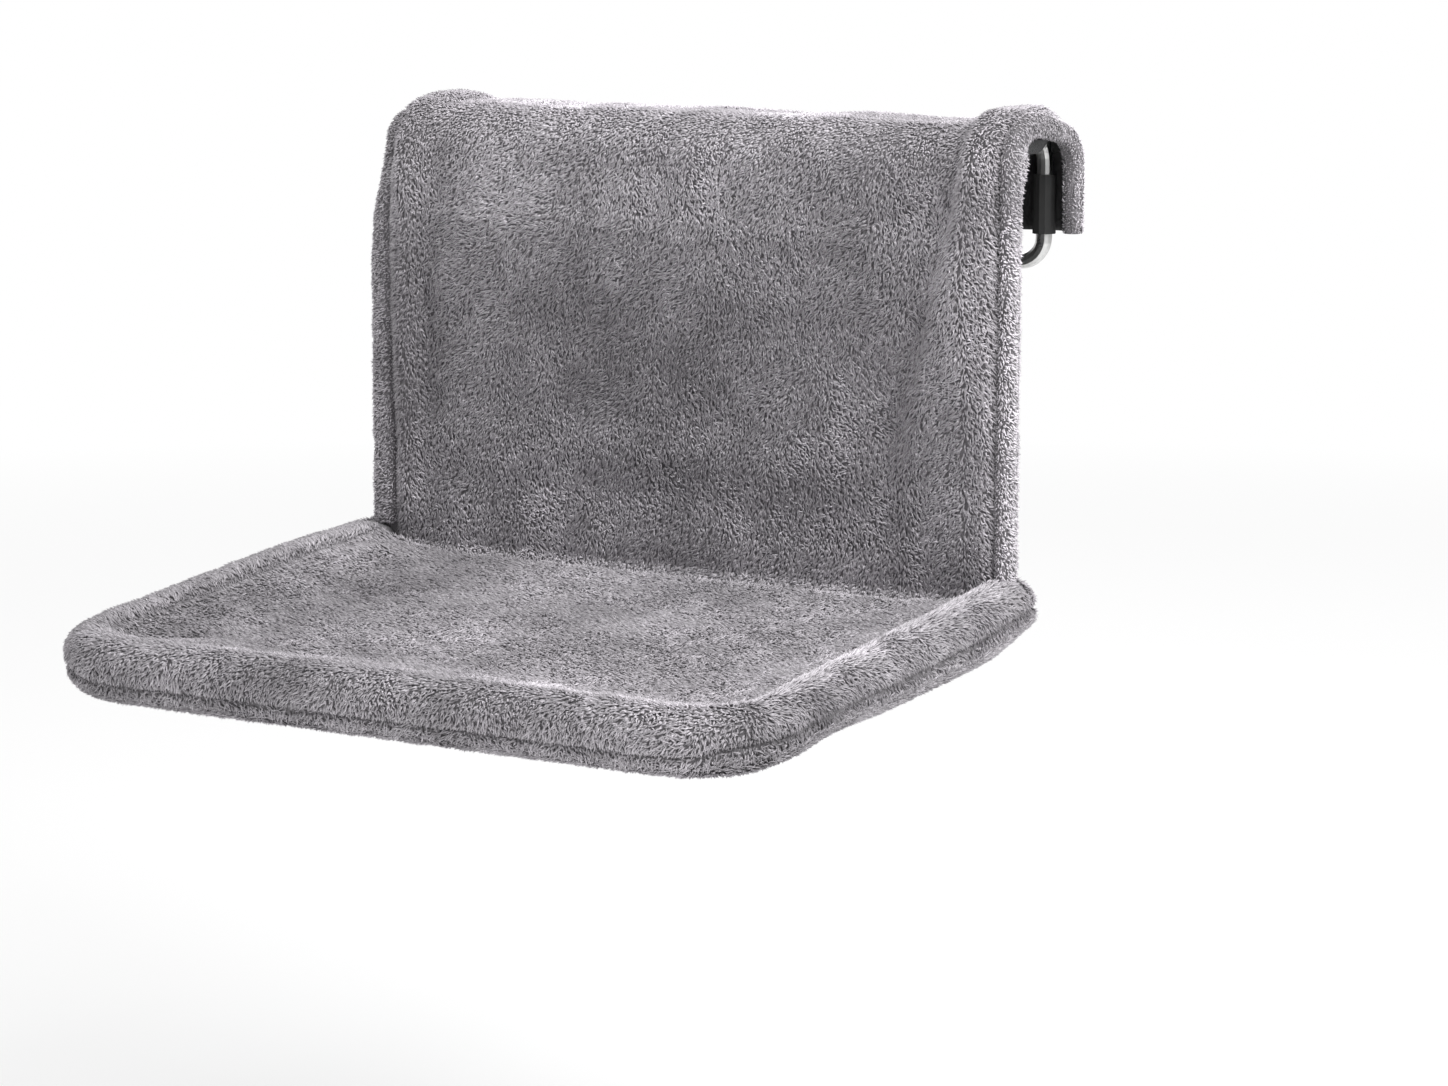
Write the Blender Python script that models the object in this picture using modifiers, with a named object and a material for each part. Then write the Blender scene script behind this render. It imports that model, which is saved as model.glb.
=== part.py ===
"""A plush pet bed that hangs on a panel radiator.

Two bent steel hangers carry a U-shaped seat tube through moulded corner sockets.
Two rear hooks slide in the hangers' arms to suit the radiator's depth.
A two-layer plush cover is drawn over the whole frame.

+X is to the bed's right, seen from the room, +Y points to the wall and +Z up.
The origin lies on the radiator's top front edge, at the middle of the bed.
"""
import math

import bmesh
import bpy
from mathutils import Matrix, Vector

MM = 0.001

# Clearances
GAP = 0.3 * MM
OVERRUN = 4.0 * MM
REAR_GAP = 1.1 * MM
MERGE = 0.01 * MM

# Overall sizes
SEAT_WIDTH = 460.0 * MM
SEAT_REACH = 312.0 * MM
SEAT_DROP = 241.0 * MM
SEAT_TILT = math.radians(5.0)
RADIATOR_DEPTH = 54.0 * MM

# Steel frame
TUBE_RADIUS = 6.0 * MM
TUBE_BORE_RADIUS = 4.8 * MM
ROD_RADIUS = 4.5 * MM
BEND_RADIUS = 20.0 * MM
STAND_OFF = 12.5 * MM
HANGER_INSET = 14.0 * MM
SEAT_CORNER_RADIUS = 57.0 * MM
CROSS_BAR_RADIUS = 4.0 * MM
CROSS_BAR_BORE_RADIUS = 2.3 * MM
UPPER_BAR_DROP = 62.0 * MM
LOWER_BAR_RISE = 45.0 * MM
ARM_MARGIN = 5.5 * MM
ROD_INSET = 1.0 * MM
TAIL_DROP = 62.0 * MM
TAIL_TURN_RADIUS = 14.0 * MM
TAIL_LEG_LENGTH = 31.0 * MM
REAR_TUBE_INSET = 30.0 * MM

# Corner sockets and clamp collars
SOCKET_RADIUS = 8.0 * MM
SOCKET_LENGTH = 32.0 * MM
SOCKET_FLOOR = 3.0 * MM
SOCKET_HEEL = 5.0 * MM
WEB_THICKNESS = 12.0 * MM
WEB_HEIGHT = 14.0 * MM
COLLAR_LENGTH = 10.0 * MM
BOSS_RADIUS = 4.2 * MM
BOSS_LENGTH = 3.0 * MM

# Fasteners
BOLT_RADIUS = 2.0 * MM
BOLT_HEAD_RADIUS = 4.0 * MM
BOLT_HEAD_HEIGHT = 2.5 * MM
BOLT_GRIP = 14.0 * MM
SCREW_RADIUS = 1.8 * MM
SCREW_HEAD_RADIUS = 3.2 * MM
SCREW_HEAD_HEIGHT = 1.8 * MM
SCREW_REACH = 1.0 * MM
SCREW_SETBACK = 12.0 * MM
CLAMP_RADIUS = 2.5 * MM
KNOB_RADIUS = 5.5 * MM
KNOB_LENGTH = 7.0 * MM
KNOB_CHAMFER = 0.8 * MM

# Rubber pieces
SLEEVE_RADIUS = 6.5 * MM
SLEEVE_TOP_DROP = 13.0 * MM
SLEEVE_LENGTH = 33.0 * MM
PAD_WIDTH = 10.0 * MM
PAD_LENGTH = 16.0 * MM
PAD_RISE = 6.5 * MM
PAD_INSET = 1.0 * MM

# Cover cloth
LINING = 2.0 * MM
PLUSH = 6.0 * MM
COVER_INSET = 26.0 * MM
HEM_HALF_WIDTH = 5.5 * MM
HEM_HALF_DEPTH = 7.5 * MM
HEM_OFFSET = 5.0 * MM
HEM_REACH = 5.1 * MM
PANEL_SAG = 4.0 * MM
TOP_SAG = 6.8 * MM
EDGE_FALL = 5.5 * MM
RIDGE_OUTER_INSET = 6.0 * MM
RIDGE_INNER_INSET = 21.0 * MM
RIDGE_FOOT_INSET = 58.0 * MM
SEAM_DROP = 15.0 * MM
SEAM_FLARE = 26.0 * MM
SEAM_TUCK = 10.0 * MM
CAP_MARGIN = 5.0 * MM
FLAP_DROP = 45.0 * MM

# Seat cushion
ROLL_RADIUS = 17.0 * MM
SEAT_PLUSH = 4.5 * MM
SEAT_BASE_CLOTH = 3.0 * MM
SEAM_HALF_GAP = 1.5 * MM
STITCH_INSET = 34.5 * MM
STITCH_HEIGHT = 2.0 * MM
PILLOW_HEIGHT = 4.0 * MM
PILLOW_INSET = 40.0 * MM
SEAT_SAG = 7.0 * MM
SAG_SPREAD = 55.0 * MM
BASE_RISE = 0.6 * MM
FOAM_RADIUS = 11.7 * MM
WADDING = 5.0 * MM
WADDING_INSET = 40.0 * MM
WADDING_GAP = 0.5 * MM
CAP_WALL = 3.0 * MM
WINDOW_MARGIN = 5.5 * MM

# Zip under the seat
ZIP_LENGTH = 330.0 * MM
ZIP_SETBACK = 60.0 * MM
TAPE_WIDTH = 24.0 * MM
TAPE_THICKNESS = 0.8 * MM
COIL_WIDTH = 5.0 * MM
COIL_HEIGHT = 1.5 * MM
SLIDER_LENGTH = 10.0 * MM
SLIDER_WIDTH = 9.0 * MM
SLIDER_HEIGHT = 4.1 * MM
SLIDER_CLEARANCE = 0.4 * MM
BAIL_RADIUS = 3.8 * MM
BAIL_WIRE_RADIUS = 0.8 * MM
PULL_WIDTH = 7.0 * MM
PULL_LENGTH = 24.0 * MM
PULL_THICKNESS = 1.3 * MM
PULL_EYE_WIDTH = 4.4 * MM
PULL_EYE_LENGTH = 5.0 * MM
PULL_PIN_DROP = 1.5 * MM

# Facet counts
ROUND_SIDES = 24
TUBE_RESOLUTION = 4
BEND_STEPS = 8
SEAT_BEND_STEPS = 8
FOLD_STEPS = 4
SMOOTH_ANGLE = math.radians(40)

# Places that follow from the sizes above
ARM_START_Y = BEND_RADIUS - STAND_OFF
TAIL_Y = RADIATOR_DEPTH + SLEEVE_RADIUS
REAR_BEND_Y = TAIL_Y - BEND_RADIUS
ARM_END_Y = REAR_BEND_Y - ARM_MARGIN
BEND_Z = STAND_OFF - BEND_RADIUS
RIDGE_OFFSET = SOCKET_RADIUS + GAP + PLUSH
CROSS_BAR_DROPS = {"upper": UPPER_BAR_DROP, "lower": SEAT_DROP - LOWER_BAR_RISE}
SEAT_HALF_WIDTH = SEAT_WIDTH / 2
COVER_HALF_WIDTH = SEAT_HALF_WIDTH - COVER_INSET
RIDGE_OUTER_X = COVER_HALF_WIDTH - RIDGE_OUTER_INSET
RIDGE_INNER_X = COVER_HALF_WIDTH - RIDGE_INNER_INSET
RIDGE_FOOT_X = COVER_HALF_WIDTH - RIDGE_FOOT_INSET
HANGER_X = COVER_HALF_WIDTH - HANGER_INSET
REAR_TUBE_HALF_LENGTH = HANGER_X - REAR_TUBE_INSET
SEAT_TUBE_X = SEAT_HALF_WIDTH - ROLL_RADIUS
SEAT_REAR = -(RIDGE_OFFSET + REAR_GAP)
SCREW_HOLE_RADIUS = SCREW_RADIUS + GAP
COLLAR_Y = ARM_END_Y - COLLAR_LENGTH / 2
CAP_TOP_Z = -SEAT_DROP + ROLL_RADIUS + (HEM_HALF_DEPTH - HEM_OFFSET) * math.sin(SEAT_TILT)
SIDES = {"left": -1, "right": 1}

# Colours and finishes: base colour, roughness, metallic
FINISHES = {
    "powder_coat": ((0.035, 0.035, 0.038, 1), 0.45, 0.3),
    "zinc_rod": ((0.55, 0.55, 0.56, 1), 0.35, 0.9),
    "nylon": ((0.03, 0.03, 0.03, 1), 0.5, 0.0),
    "screw_steel": ((0.6, 0.6, 0.6, 1), 0.3, 1.0),
    "rubber": ((0.02, 0.02, 0.02, 1), 0.8, 0.0),
    "grey_plush": ((0.26, 0.245, 0.26, 1), 0.95, 0.0),
    "grey_lining": ((0.1, 0.1, 0.105, 1), 0.85, 0.0),
    "foam": ((0.75, 0.74, 0.7, 1), 0.9, 0.0),
    "zip_metal": ((0.3, 0.3, 0.31, 1), 0.35, 0.9),
}


def new_collection(name):
    """A collection linked to the scene."""
    collection = bpy.data.collections.new(name)
    bpy.context.scene.collection.children.link(collection)
    return collection


def clear_scene():
    """Removes every object, so that the model starts from nothing."""
    for item in list(bpy.data.objects):
        bpy.data.objects.remove(item, do_unlink=True)


def finish(item, finish_name):
    """Gives an object the material of one of the finishes."""
    material = bpy.data.materials.get(finish_name)
    if material is None:
        material = bpy.data.materials.new(finish_name)
        material.use_nodes = True
        colour, roughness, metallic = FINISHES[finish_name]
        shader = material.node_tree.nodes["Principled BSDF"]
        shader.inputs["Base Color"].default_value = colour
        shader.inputs["Roughness"].default_value = roughness
        shader.inputs["Metallic"].default_value = metallic
    item.data.materials.clear()
    item.data.materials.append(material)
    return item


def mesh_object(name, bm, collection):
    """An object made of a bmesh, with round faces shaded smooth."""
    mesh = bpy.data.meshes.new(name)
    bm.to_mesh(mesh)
    bm.free()
    mesh.shade_smooth()
    mesh.set_sharp_from_angle(angle=SMOOTH_ANGLE)
    item = bpy.data.objects.new(name, mesh)
    collection.objects.link(item)
    return item


def cylinder(name, radius, start, end, collection):
    """A closed cylinder from one point to another."""
    axis = Vector(end) - Vector(start)
    bm = bmesh.new()
    bmesh.ops.create_cone(
        bm, cap_ends=True, segments=ROUND_SIDES, radius1=radius, radius2=radius, depth=axis.length
    )
    turn = axis.to_track_quat("Z", "Y").to_matrix().to_4x4()
    place = Matrix.Translation((Vector(start) + Vector(end)) / 2)
    bmesh.ops.transform(bm, matrix=place @ turn, verts=bm.verts)
    return mesh_object(name, bm, collection)


def box(name, low, high, collection):
    """A closed box between two corners."""
    size = Vector(high) - Vector(low)
    centre = (Vector(high) + Vector(low)) / 2
    bm = bmesh.new()
    bmesh.ops.create_cube(bm, size=1)
    bmesh.ops.transform(bm, matrix=Matrix.Translation(centre) @ Matrix.Diagonal((*size, 1)), verts=bm.verts)
    return mesh_object(name, bm, collection)


def tube(name, points, radius, collection, bore=None):
    """A round rod along a line of points, or a tube where it has a bore."""
    curve = bpy.data.curves.new(name, "CURVE")
    curve.dimensions = "3D"
    spline = curve.splines.new("POLY")
    spline.points.add(len(points) - 1)
    for spot, point in zip(spline.points, points):
        spot.co = (*point, 1)
    curve.bevel_depth = radius
    curve.bevel_resolution = TUBE_RESOLUTION
    curve.use_fill_caps = bore is None
    item = bpy.data.objects.new(name, curve)
    collection.objects.link(item)
    if bore is not None:
        wall = item.modifiers.new("wall", "SOLIDIFY")
        wall.thickness = radius - bore
        wall.offset = -1
    return item


def as_mesh(item, collection):
    """Turns a curve object into a mesh object with welded caps, so that it can be cut."""
    name = item.name
    graph = bpy.context.evaluated_depsgraph_get()
    mesh = bpy.data.meshes.new_from_object(item.evaluated_get(graph))
    bm = bmesh.new()
    bm.from_mesh(mesh)
    bmesh.ops.remove_doubles(bm, verts=bm.verts, dist=MERGE)
    bm.to_mesh(mesh)
    bm.free()
    place = item.matrix_world.copy()
    bpy.data.objects.remove(item, do_unlink=True)
    solid = bpy.data.objects.new(name, mesh)
    solid.matrix_world = place
    mesh.shade_smooth()
    mesh.set_sharp_from_angle(angle=SMOOTH_ANGLE)
    collection.objects.link(solid)
    return solid


def combine(item, tool, operation):
    """Adds or cuts one solid with another, which is then only a guide."""
    change = item.modifiers.new(operation.lower(), "BOOLEAN")
    change.operation = operation
    change.object = tool
    tool.hide_render = True
    tool.display_type = "WIRE"


def turned(name, profile, place, collection):
    """A turned piece: the outline of radius and height runs down its outer side."""
    bm = bmesh.new()
    spots = [bm.verts.new((radius, 0, height)) for radius, height in profile]
    for first, second in zip(spots, spots[1:]):
        bm.edges.new((first, second))
    item = mesh_object(name, bm, collection)
    item.matrix_world = place
    spin = item.modifiers.new("turn", "SCREW")
    spin.steps = spin.render_steps = ROUND_SIDES // 2
    spin.use_merge_vertices = True
    spin.merge_threshold = MERGE
    return item


def arc(centre, radius, start, end, steps, across, along):
    """Points on an arc about a centre, in the plane of two unit directions."""
    points = []
    for step in range(steps + 1):
        angle = start + (end - start) * step / steps
        points.append(centre + radius * (math.cos(angle) * across + math.sin(angle) * along))
    return points


def smooth_step(value, low, high):
    """0 below low, 1 above high and a smooth rise between them."""
    share = min(1, max(0, (value - low) / (high - low)))
    return share * share * (3 - 2 * share)


UP = Vector((0, 0, 1))
BACK = Vector((0, 1, 0))
SIDE = Vector((1, 0, 0))


def seat_place():
    """The matrix from the seat's own plane to the bed: the plane tilts down to the front."""
    return Matrix.Translation((0, -STAND_OFF, -SEAT_DROP)) @ Matrix.Rotation(SEAT_TILT, 4, "X")


def seat_point(x, y, z):
    """A point given in the seat's own plane."""
    return seat_place() @ Vector((x, y, z))


def hang_line(distance):
    """A place on the cover's side line and the way out from it.

    The distance runs up from the seat's height, over both bends and down behind.
    """
    rise = SEAT_DROP + BEND_Z
    quarter = BEND_RADIUS * math.pi / 2
    flat = REAR_BEND_Y - ARM_START_Y
    if distance <= rise:
        return Vector((0, -STAND_OFF, distance - SEAT_DROP)), -BACK
    distance -= rise
    if distance <= quarter:
        angle = distance / BEND_RADIUS
        out = -BACK * math.cos(angle) + UP * math.sin(angle)
        return Vector((0, ARM_START_Y, BEND_Z)) + out * BEND_RADIUS, out
    distance -= quarter
    if distance <= flat:
        return Vector((0, ARM_START_Y + distance, STAND_OFF)), UP.copy()
    distance -= flat
    if distance <= quarter:
        angle = distance / BEND_RADIUS
        out = BACK * math.sin(angle) + UP * math.cos(angle)
        return Vector((0, REAR_BEND_Y, BEND_Z)) + out * BEND_RADIUS, out
    distance -= quarter
    return Vector((0, TAIL_Y, BEND_Z - distance)), BACK.copy()


RISE_LENGTH = SEAT_DROP + BEND_Z
BEND_LENGTH = BEND_RADIUS * math.pi / 2
PANEL_LENGTH = RISE_LENGTH + BEND_LENGTH + ARM_END_Y - ARM_START_Y
FLAP_START = PANEL_LENGTH + GAP
REAR_BEND_START = PANEL_LENGTH + ARM_MARGIN
FLAP_LENGTH = REAR_BEND_START + BEND_LENGTH + FLAP_DROP + BEND_Z


def cover_offset(x, distance):
    """How far the cover's outer face stands off the line of the tubes."""
    reach = abs(x)
    ridge = smooth_step(reach, RIDGE_FOOT_X, RIDGE_INNER_X)
    on_top = smooth_step(distance, RISE_LENGTH - BEND_LENGTH, RISE_LENGTH + BEND_LENGTH / 2)
    past_top = smooth_step(distance, REAR_BEND_START, REAR_BEND_START + BEND_LENGTH)
    sag = PANEL_SAG + (TOP_SAG - PANEL_SAG) * (on_top - past_top)
    sag *= smooth_step(distance, SEAM_DROP, SEAM_DROP + SEAM_FLARE)
    fall = EDGE_FALL * smooth_step(reach, RIDGE_OUTER_X, COVER_HALF_WIDTH)
    return RIDGE_OFFSET - sag * (1 - ridge) - fall


def cloth(name, x_lines, distances, bottom_of, collection):
    """A layer of the cover, hung over the hangers, with its ridges and its sag."""
    columns = len(x_lines) - 1
    rows = len(distances) - 1
    bm = bmesh.new()
    bmesh.ops.create_grid(bm, x_segments=columns, y_segments=rows, size=1)
    for vertex in bm.verts:
        x = x_lines[round((vertex.co.x + 1) / 2 * columns)]
        distance = max(distances[round((vertex.co.y + 1) / 2 * rows)], bottom_of(x))
        place, out = hang_line(distance)
        vertex.co = place + out * cover_offset(x, distance) + SIDE * x
    item = mesh_object(name, bm, collection)
    layer = item.modifiers.new("plush", "SOLIDIFY")
    layer.thickness = PLUSH
    layer.offset = -1
    return finish(item, "grey_plush")


def hem(name, side, start, end, collection, guides):
    """The bound edge along one side of the cover, oval in section."""
    section = bpy.data.curves.new(name + "_section", "CURVE")
    section.dimensions = "2D"
    ring = section.splines.new("POLY")
    ring.points.add(ROUND_SIDES // 2 - 1)
    ring.use_cyclic_u = True
    for index, spot in enumerate(ring.points):
        angle = -2 * math.pi * index / len(ring.points)
        spot.co = (HEM_HALF_WIDTH * math.cos(angle), HEM_HALF_DEPTH * math.sin(angle), 0, 1)
    guide = bpy.data.objects.new(name + "_section", section)
    guide.hide_render = True
    guide.display_type = "WIRE"
    guides.objects.link(guide)

    x = side * (COVER_HALF_WIDTH + HEM_REACH)
    curve = bpy.data.curves.new(name, "CURVE")
    curve.dimensions = "3D"
    spline = curve.splines.new("POLY")
    distances = line_stations(start, end)
    spline.points.add(len(distances) - 1)
    for spot, distance in zip(spline.points, distances):
        place, out = hang_line(distance)
        spot.co = (*(place + out * HEM_OFFSET + SIDE * x), 1)
    curve.bevel_mode = "OBJECT"
    curve.bevel_object = guide
    curve.use_fill_caps = True
    curve.twist_mode = "MINIMUM"
    item = bpy.data.objects.new(name, curve)
    collection.objects.link(item)
    return finish(item, "grey_plush")


def line_stations(start, end):
    """Distances along the cover's line: close together on the bends, wide apart on the straights."""
    marks = [start, end]
    for bend in (RISE_LENGTH, REAR_BEND_START):
        marks += [bend + BEND_LENGTH * step / BEND_STEPS for step in range(BEND_STEPS + 1)]
    marks.append(RISE_LENGTH - BEND_LENGTH / 2)
    marks += [RISE_LENGTH * step / BEND_STEPS for step in range(1, BEND_STEPS - 1)]
    marks = sorted(mark for mark in marks if start <= mark <= end)
    return [mark for mark, before in zip(marks, [None] + marks) if before is None or mark - before > GAP]


def make_hanger(word, side, parts, guides):
    """A hanger: straight down from the arm to the corner socket, with its arm over the radiator."""
    x = side * HANGER_X
    foot = Vector((x, -STAND_OFF, -SEAT_DROP))
    points = [foot]
    centre = Vector((x, ARM_START_Y, BEND_Z))
    points += arc(centre, BEND_RADIUS, math.pi, math.pi / 2, BEND_STEPS, BACK, UP)
    points.append(Vector((x, ARM_END_Y, STAND_OFF)))
    item = tube("hanger_" + word, points, TUBE_RADIUS, guides, TUBE_BORE_RADIUS)
    item = as_mesh(item, parts)
    for name, drop in CROSS_BAR_DROPS.items():
        middle = Vector((x, -STAND_OFF, -drop))
        reach = SIDE * (TUBE_RADIUS + OVERRUN)
        hole = cylinder(f"{name}_bolt_hole_{word}", BOLT_RADIUS + GAP, middle - reach, middle + reach, guides)
        combine(item, hole, "DIFFERENCE")
    start, end = socket_screw_line(side)
    combine(item, cylinder("foot_screw_hole_" + word, SCREW_HOLE_RADIUS, start, end, guides), "DIFFERENCE")
    start, end = clamp_line(side)
    combine(item, cylinder("clamp_hole_" + word, CLAMP_RADIUS + GAP, start, end, guides), "DIFFERENCE")
    return finish(item, "powder_coat")


def socket_screw_line(side):
    """The screw through the upright socket, from its head's seat to its tip."""
    z = -SEAT_DROP + SOCKET_LENGTH - SCREW_SETBACK
    start = Vector((side * (HANGER_X - SOCKET_RADIUS - GAP), -STAND_OFF, z))
    end = Vector((side * (HANGER_X - TUBE_BORE_RADIUS + SCREW_REACH), -STAND_OFF, z))
    return start, end


def seat_screw_line(side):
    """The screw through the level socket, from below."""
    y = -(SOCKET_LENGTH - SCREW_SETBACK)
    start = seat_point(side * SEAT_TUBE_X, y, -(SOCKET_RADIUS + GAP))
    end = seat_point(side * SEAT_TUBE_X, y, -(TUBE_BORE_RADIUS - SCREW_REACH))
    return start, end


def clamp_line(side):
    """The clamp screw's hole, from inside the arm to past its boss."""
    start = Vector((side * HANGER_X, COLLAR_Y, STAND_OFF))
    end = Vector((side * (HANGER_X - SOCKET_RADIUS - BOSS_LENGTH - OVERRUN), COLLAR_Y, STAND_OFF))
    return start, end


def make_corner(word, side, parts, guides):
    """The moulded corner that joins a hanger's foot to an end of the seat tube."""
    x = side * HANGER_X
    foot = Vector((x, -STAND_OFF, -SEAT_DROP - SOCKET_FLOOR))
    top = Vector((x, -STAND_OFF, -SEAT_DROP + SOCKET_LENGTH))
    item = cylinder("corner_socket_" + word, SOCKET_RADIUS, foot, top, parts)

    heel = seat_point(side * SEAT_TUBE_X, SOCKET_HEEL, 0)
    mouth = seat_point(side * SEAT_TUBE_X, -SOCKET_LENGTH, 0)
    combine(item, cylinder("level_socket_" + word, SOCKET_RADIUS, heel, mouth, guides), "UNION")
    low_x, high_x = sorted((x, side * SEAT_TUBE_X))
    web_top = -SEAT_DROP - SOCKET_FLOOR / 2 + WEB_HEIGHT / 2
    web = box(
        "web_" + word,
        (low_x, -STAND_OFF - WEB_THICKNESS / 2, web_top - WEB_HEIGHT),
        (high_x, -STAND_OFF + SOCKET_HEEL - CAP_WALL / 2, web_top),
        guides,
    )
    combine(item, web, "UNION")

    bore = TUBE_RADIUS + GAP
    seat_of_foot = Vector((x, -STAND_OFF, -SEAT_DROP - GAP))
    past_top = top + UP * OVERRUN
    combine(item, cylinder("upright_bore_" + word, bore, seat_of_foot, past_top, guides), "DIFFERENCE")
    inner = seat_point(side * SEAT_TUBE_X, GAP, 0)
    past_mouth = seat_point(side * SEAT_TUBE_X, -SOCKET_LENGTH - OVERRUN, 0)
    combine(item, cylinder("level_bore_" + word, bore, inner, past_mouth, guides), "DIFFERENCE")
    for name, (start, end) in (
        ("upright", socket_screw_line(side)),
        ("level", seat_screw_line(side)),
    ):
        away = (start - end).normalized() * OVERRUN
        hole = cylinder(f"{name}_screw_hole_{word}", SCREW_HOLE_RADIUS, start + away, end, guides)
        combine(item, hole, "DIFFERENCE")
    return finish(item, "nylon")


def make_seat_tube(parts, guides):
    """The U-shaped tube that carries the seat's rim."""
    radius = SEAT_CORNER_RADIUS - ROLL_RADIUS
    front = -(SEAT_REACH - ROLL_RADIUS)
    points = [Vector((SEAT_TUBE_X, 0, 0))]
    centre = Vector((SEAT_TUBE_X - radius, front + radius, 0))
    points += arc(centre, radius, 0, math.pi / 2, SEAT_BEND_STEPS, SIDE, -BACK)
    points += [Vector((-point.x, point.y, 0)) for point in reversed(points)]
    item = tube("seat_tube", [seat_place() @ point for point in points], TUBE_RADIUS, guides, TUBE_BORE_RADIUS)
    item = as_mesh(item, parts)
    for word, side in SIDES.items():
        start, end = seat_screw_line(side)
        hole = cylinder("seat_tube_hole_" + word, SCREW_HOLE_RADIUS, start, end, guides)
        combine(item, hole, "DIFFERENCE")
    return finish(item, "powder_coat")


def make_rim_foam(seat, parts):
    """The split foam sleeve round the seat tube, from one corner socket to the other."""
    radius = SEAT_CORNER_RADIUS - ROLL_RADIUS
    front = -(SEAT_REACH - ROLL_RADIUS)
    points = [Vector((SEAT_TUBE_X, -SOCKET_LENGTH - GAP, 0))]
    centre = Vector((SEAT_TUBE_X - radius, front + radius, 0))
    points += arc(centre, radius, 0, math.pi / 2, SEAT_BEND_STEPS, SIDE, -BACK)
    points += [Vector((-point.x, point.y, 0)) for point in reversed(points)]
    item = tube("rim_foam", points, FOAM_RADIUS, parts, TUBE_RADIUS + GAP)
    item.parent = seat
    return finish(item, "foam")


def roll_height(inset):
    """The rim roll's height over its middle, at a distance in from its outer edge."""
    run = min(inset, 2 * ROLL_RADIUS) - ROLL_RADIUS
    return math.sqrt(max(0, ROLL_RADIUS**2 - run**2))


def seat_top_height(inset):
    """The seat's upper face: rim roll, stitched groove, then a panel that sags to the middle."""
    if inset <= ROLL_RADIUS:
        return max(SEAM_HALF_GAP, roll_height(inset))
    if inset < STITCH_INSET:
        return max(STITCH_HEIGHT, roll_height(inset))
    if inset < PILLOW_INSET:
        share = (inset - STITCH_INSET) / (PILLOW_INSET - STITCH_INSET)
        return STITCH_HEIGHT + share * (PILLOW_HEIGHT - STITCH_HEIGHT)
    return PILLOW_HEIGHT - SEAT_SAG * (1 - math.exp((PILLOW_INSET - inset) / SAG_SPREAD))


def seat_base_height(inset):
    """The seat's lower face: the rim roll's underside, then a nearly flat panel."""
    if inset <= ROLL_RADIUS:
        return -max(SEAM_HALF_GAP, roll_height(inset))
    return -ROLL_RADIUS + BASE_RISE


# Lines of the cloth as shares of the rim roll's radius, of the seat's plan and of the ridges
ROLL_LINE_SHARES = (0, 0.1, 0.35, 0.68, 1, 1.32, 1.65, 1.87)
BASE_LINE_SHARES = (0, 0.1, 0.35, 1)
PANEL_COLUMN_SHARES = (0.75, 0.5, 0.25, 0)
PANEL_ROW_SHARES = (0, 0.25, 0.5, 0.75)
FLAT_COLUMN_SHARES = (0, 0.35, 0.7)
SLOPE_COLUMN_SHARES = (0, 0.25, 0.5, 0.75, 1)
HEAD_FLAT_SHARE = 0.7


def seat_lines(insets):
    """The lines across and along the seat, from insets at its sides and front."""
    core_x = SEAT_HALF_WIDTH - SEAT_CORNER_RADIUS
    half = [SEAT_HALF_WIDTH - inset for inset in insets] + [core_x * share for share in PANEL_COLUMN_SHARES]
    x_lines = [-x for x in half] + [x for x in reversed(half) if x > 0]
    core_y = -(SEAT_REACH - SEAT_CORNER_RADIUS)
    y_lines = [SEAT_REAR + (core_y - SEAT_REAR) * share for share in PANEL_ROW_SHARES]
    y_lines += [-(SEAT_REACH - inset) for inset in reversed(insets)]
    return x_lines, y_lines


def round_corner(x, y):
    """Moves a point of the square plan into the plan with round front corners, and gives its inset."""
    core_x = SEAT_HALF_WIDTH - SEAT_CORNER_RADIUS
    core_y = SEAT_REACH - SEAT_CORNER_RADIUS
    across = abs(x) - core_x
    along = -y - core_y
    if across <= 0 or along <= 0:
        return x, y, min(SEAT_HALF_WIDTH - abs(x), SEAT_REACH + y)
    radius = max(across, along)
    if across >= along:
        angle = math.pi / 4 * along / across
    else:
        angle = math.pi / 2 - math.pi / 4 * across / along
    new_x = math.copysign(core_x + radius * math.cos(angle), x)
    return new_x, -(core_y + radius * math.sin(angle)), SEAT_CORNER_RADIUS - radius


def seat_layer(name, insets, height_of, thickness, facing_down, seat, parts):
    """One sewn layer of the seat, laid out on the seat's plan."""
    x_lines, y_lines = seat_lines(insets)
    columns = len(x_lines) - 1
    rows = len(y_lines) - 1
    bm = bmesh.new()
    bmesh.ops.create_grid(bm, x_segments=columns, y_segments=rows, size=1)
    for vertex in bm.verts:
        x = x_lines[round((vertex.co.x + 1) / 2 * columns)]
        y = y_lines[rows - round((vertex.co.y + 1) / 2 * rows)]
        x, y, inset = round_corner(x, y)
        vertex.co = (x, y, height_of(inset))
    if facing_down:
        bmesh.ops.reverse_faces(bm, faces=bm.faces)
    item = mesh_object(name, bm, parts)
    item.parent = seat
    layer = item.modifiers.new("layer", "SOLIDIFY")
    layer.thickness = thickness
    layer.offset = -1
    return item


def make_seat_layers(seat, parts):
    """The seat's plush top, its wadding and its base cloth."""
    corner = [SEAT_CORNER_RADIUS]
    top_insets = [ROLL_RADIUS * share for share in ROLL_LINE_SHARES] + [STITCH_INSET, PILLOW_INSET] + corner
    top = seat_layer("seat_top", top_insets, seat_top_height, SEAT_PLUSH, False, seat, parts)
    finish(top, "grey_plush")
    base_insets = [ROLL_RADIUS * share for share in BASE_LINE_SHARES] + corner
    base = seat_layer("seat_base", base_insets, seat_base_height, SEAT_BASE_CLOTH, True, seat, parts)
    finish(base, "grey_lining")

    def wadding_height(inset):
        return seat_top_height(inset) - SEAT_PLUSH - WADDING_GAP

    fill = seat_layer("seat_wadding", [WADDING_INSET] + corner, wadding_height, WADDING, False, seat, parts)
    finish(fill, "foam")


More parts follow.
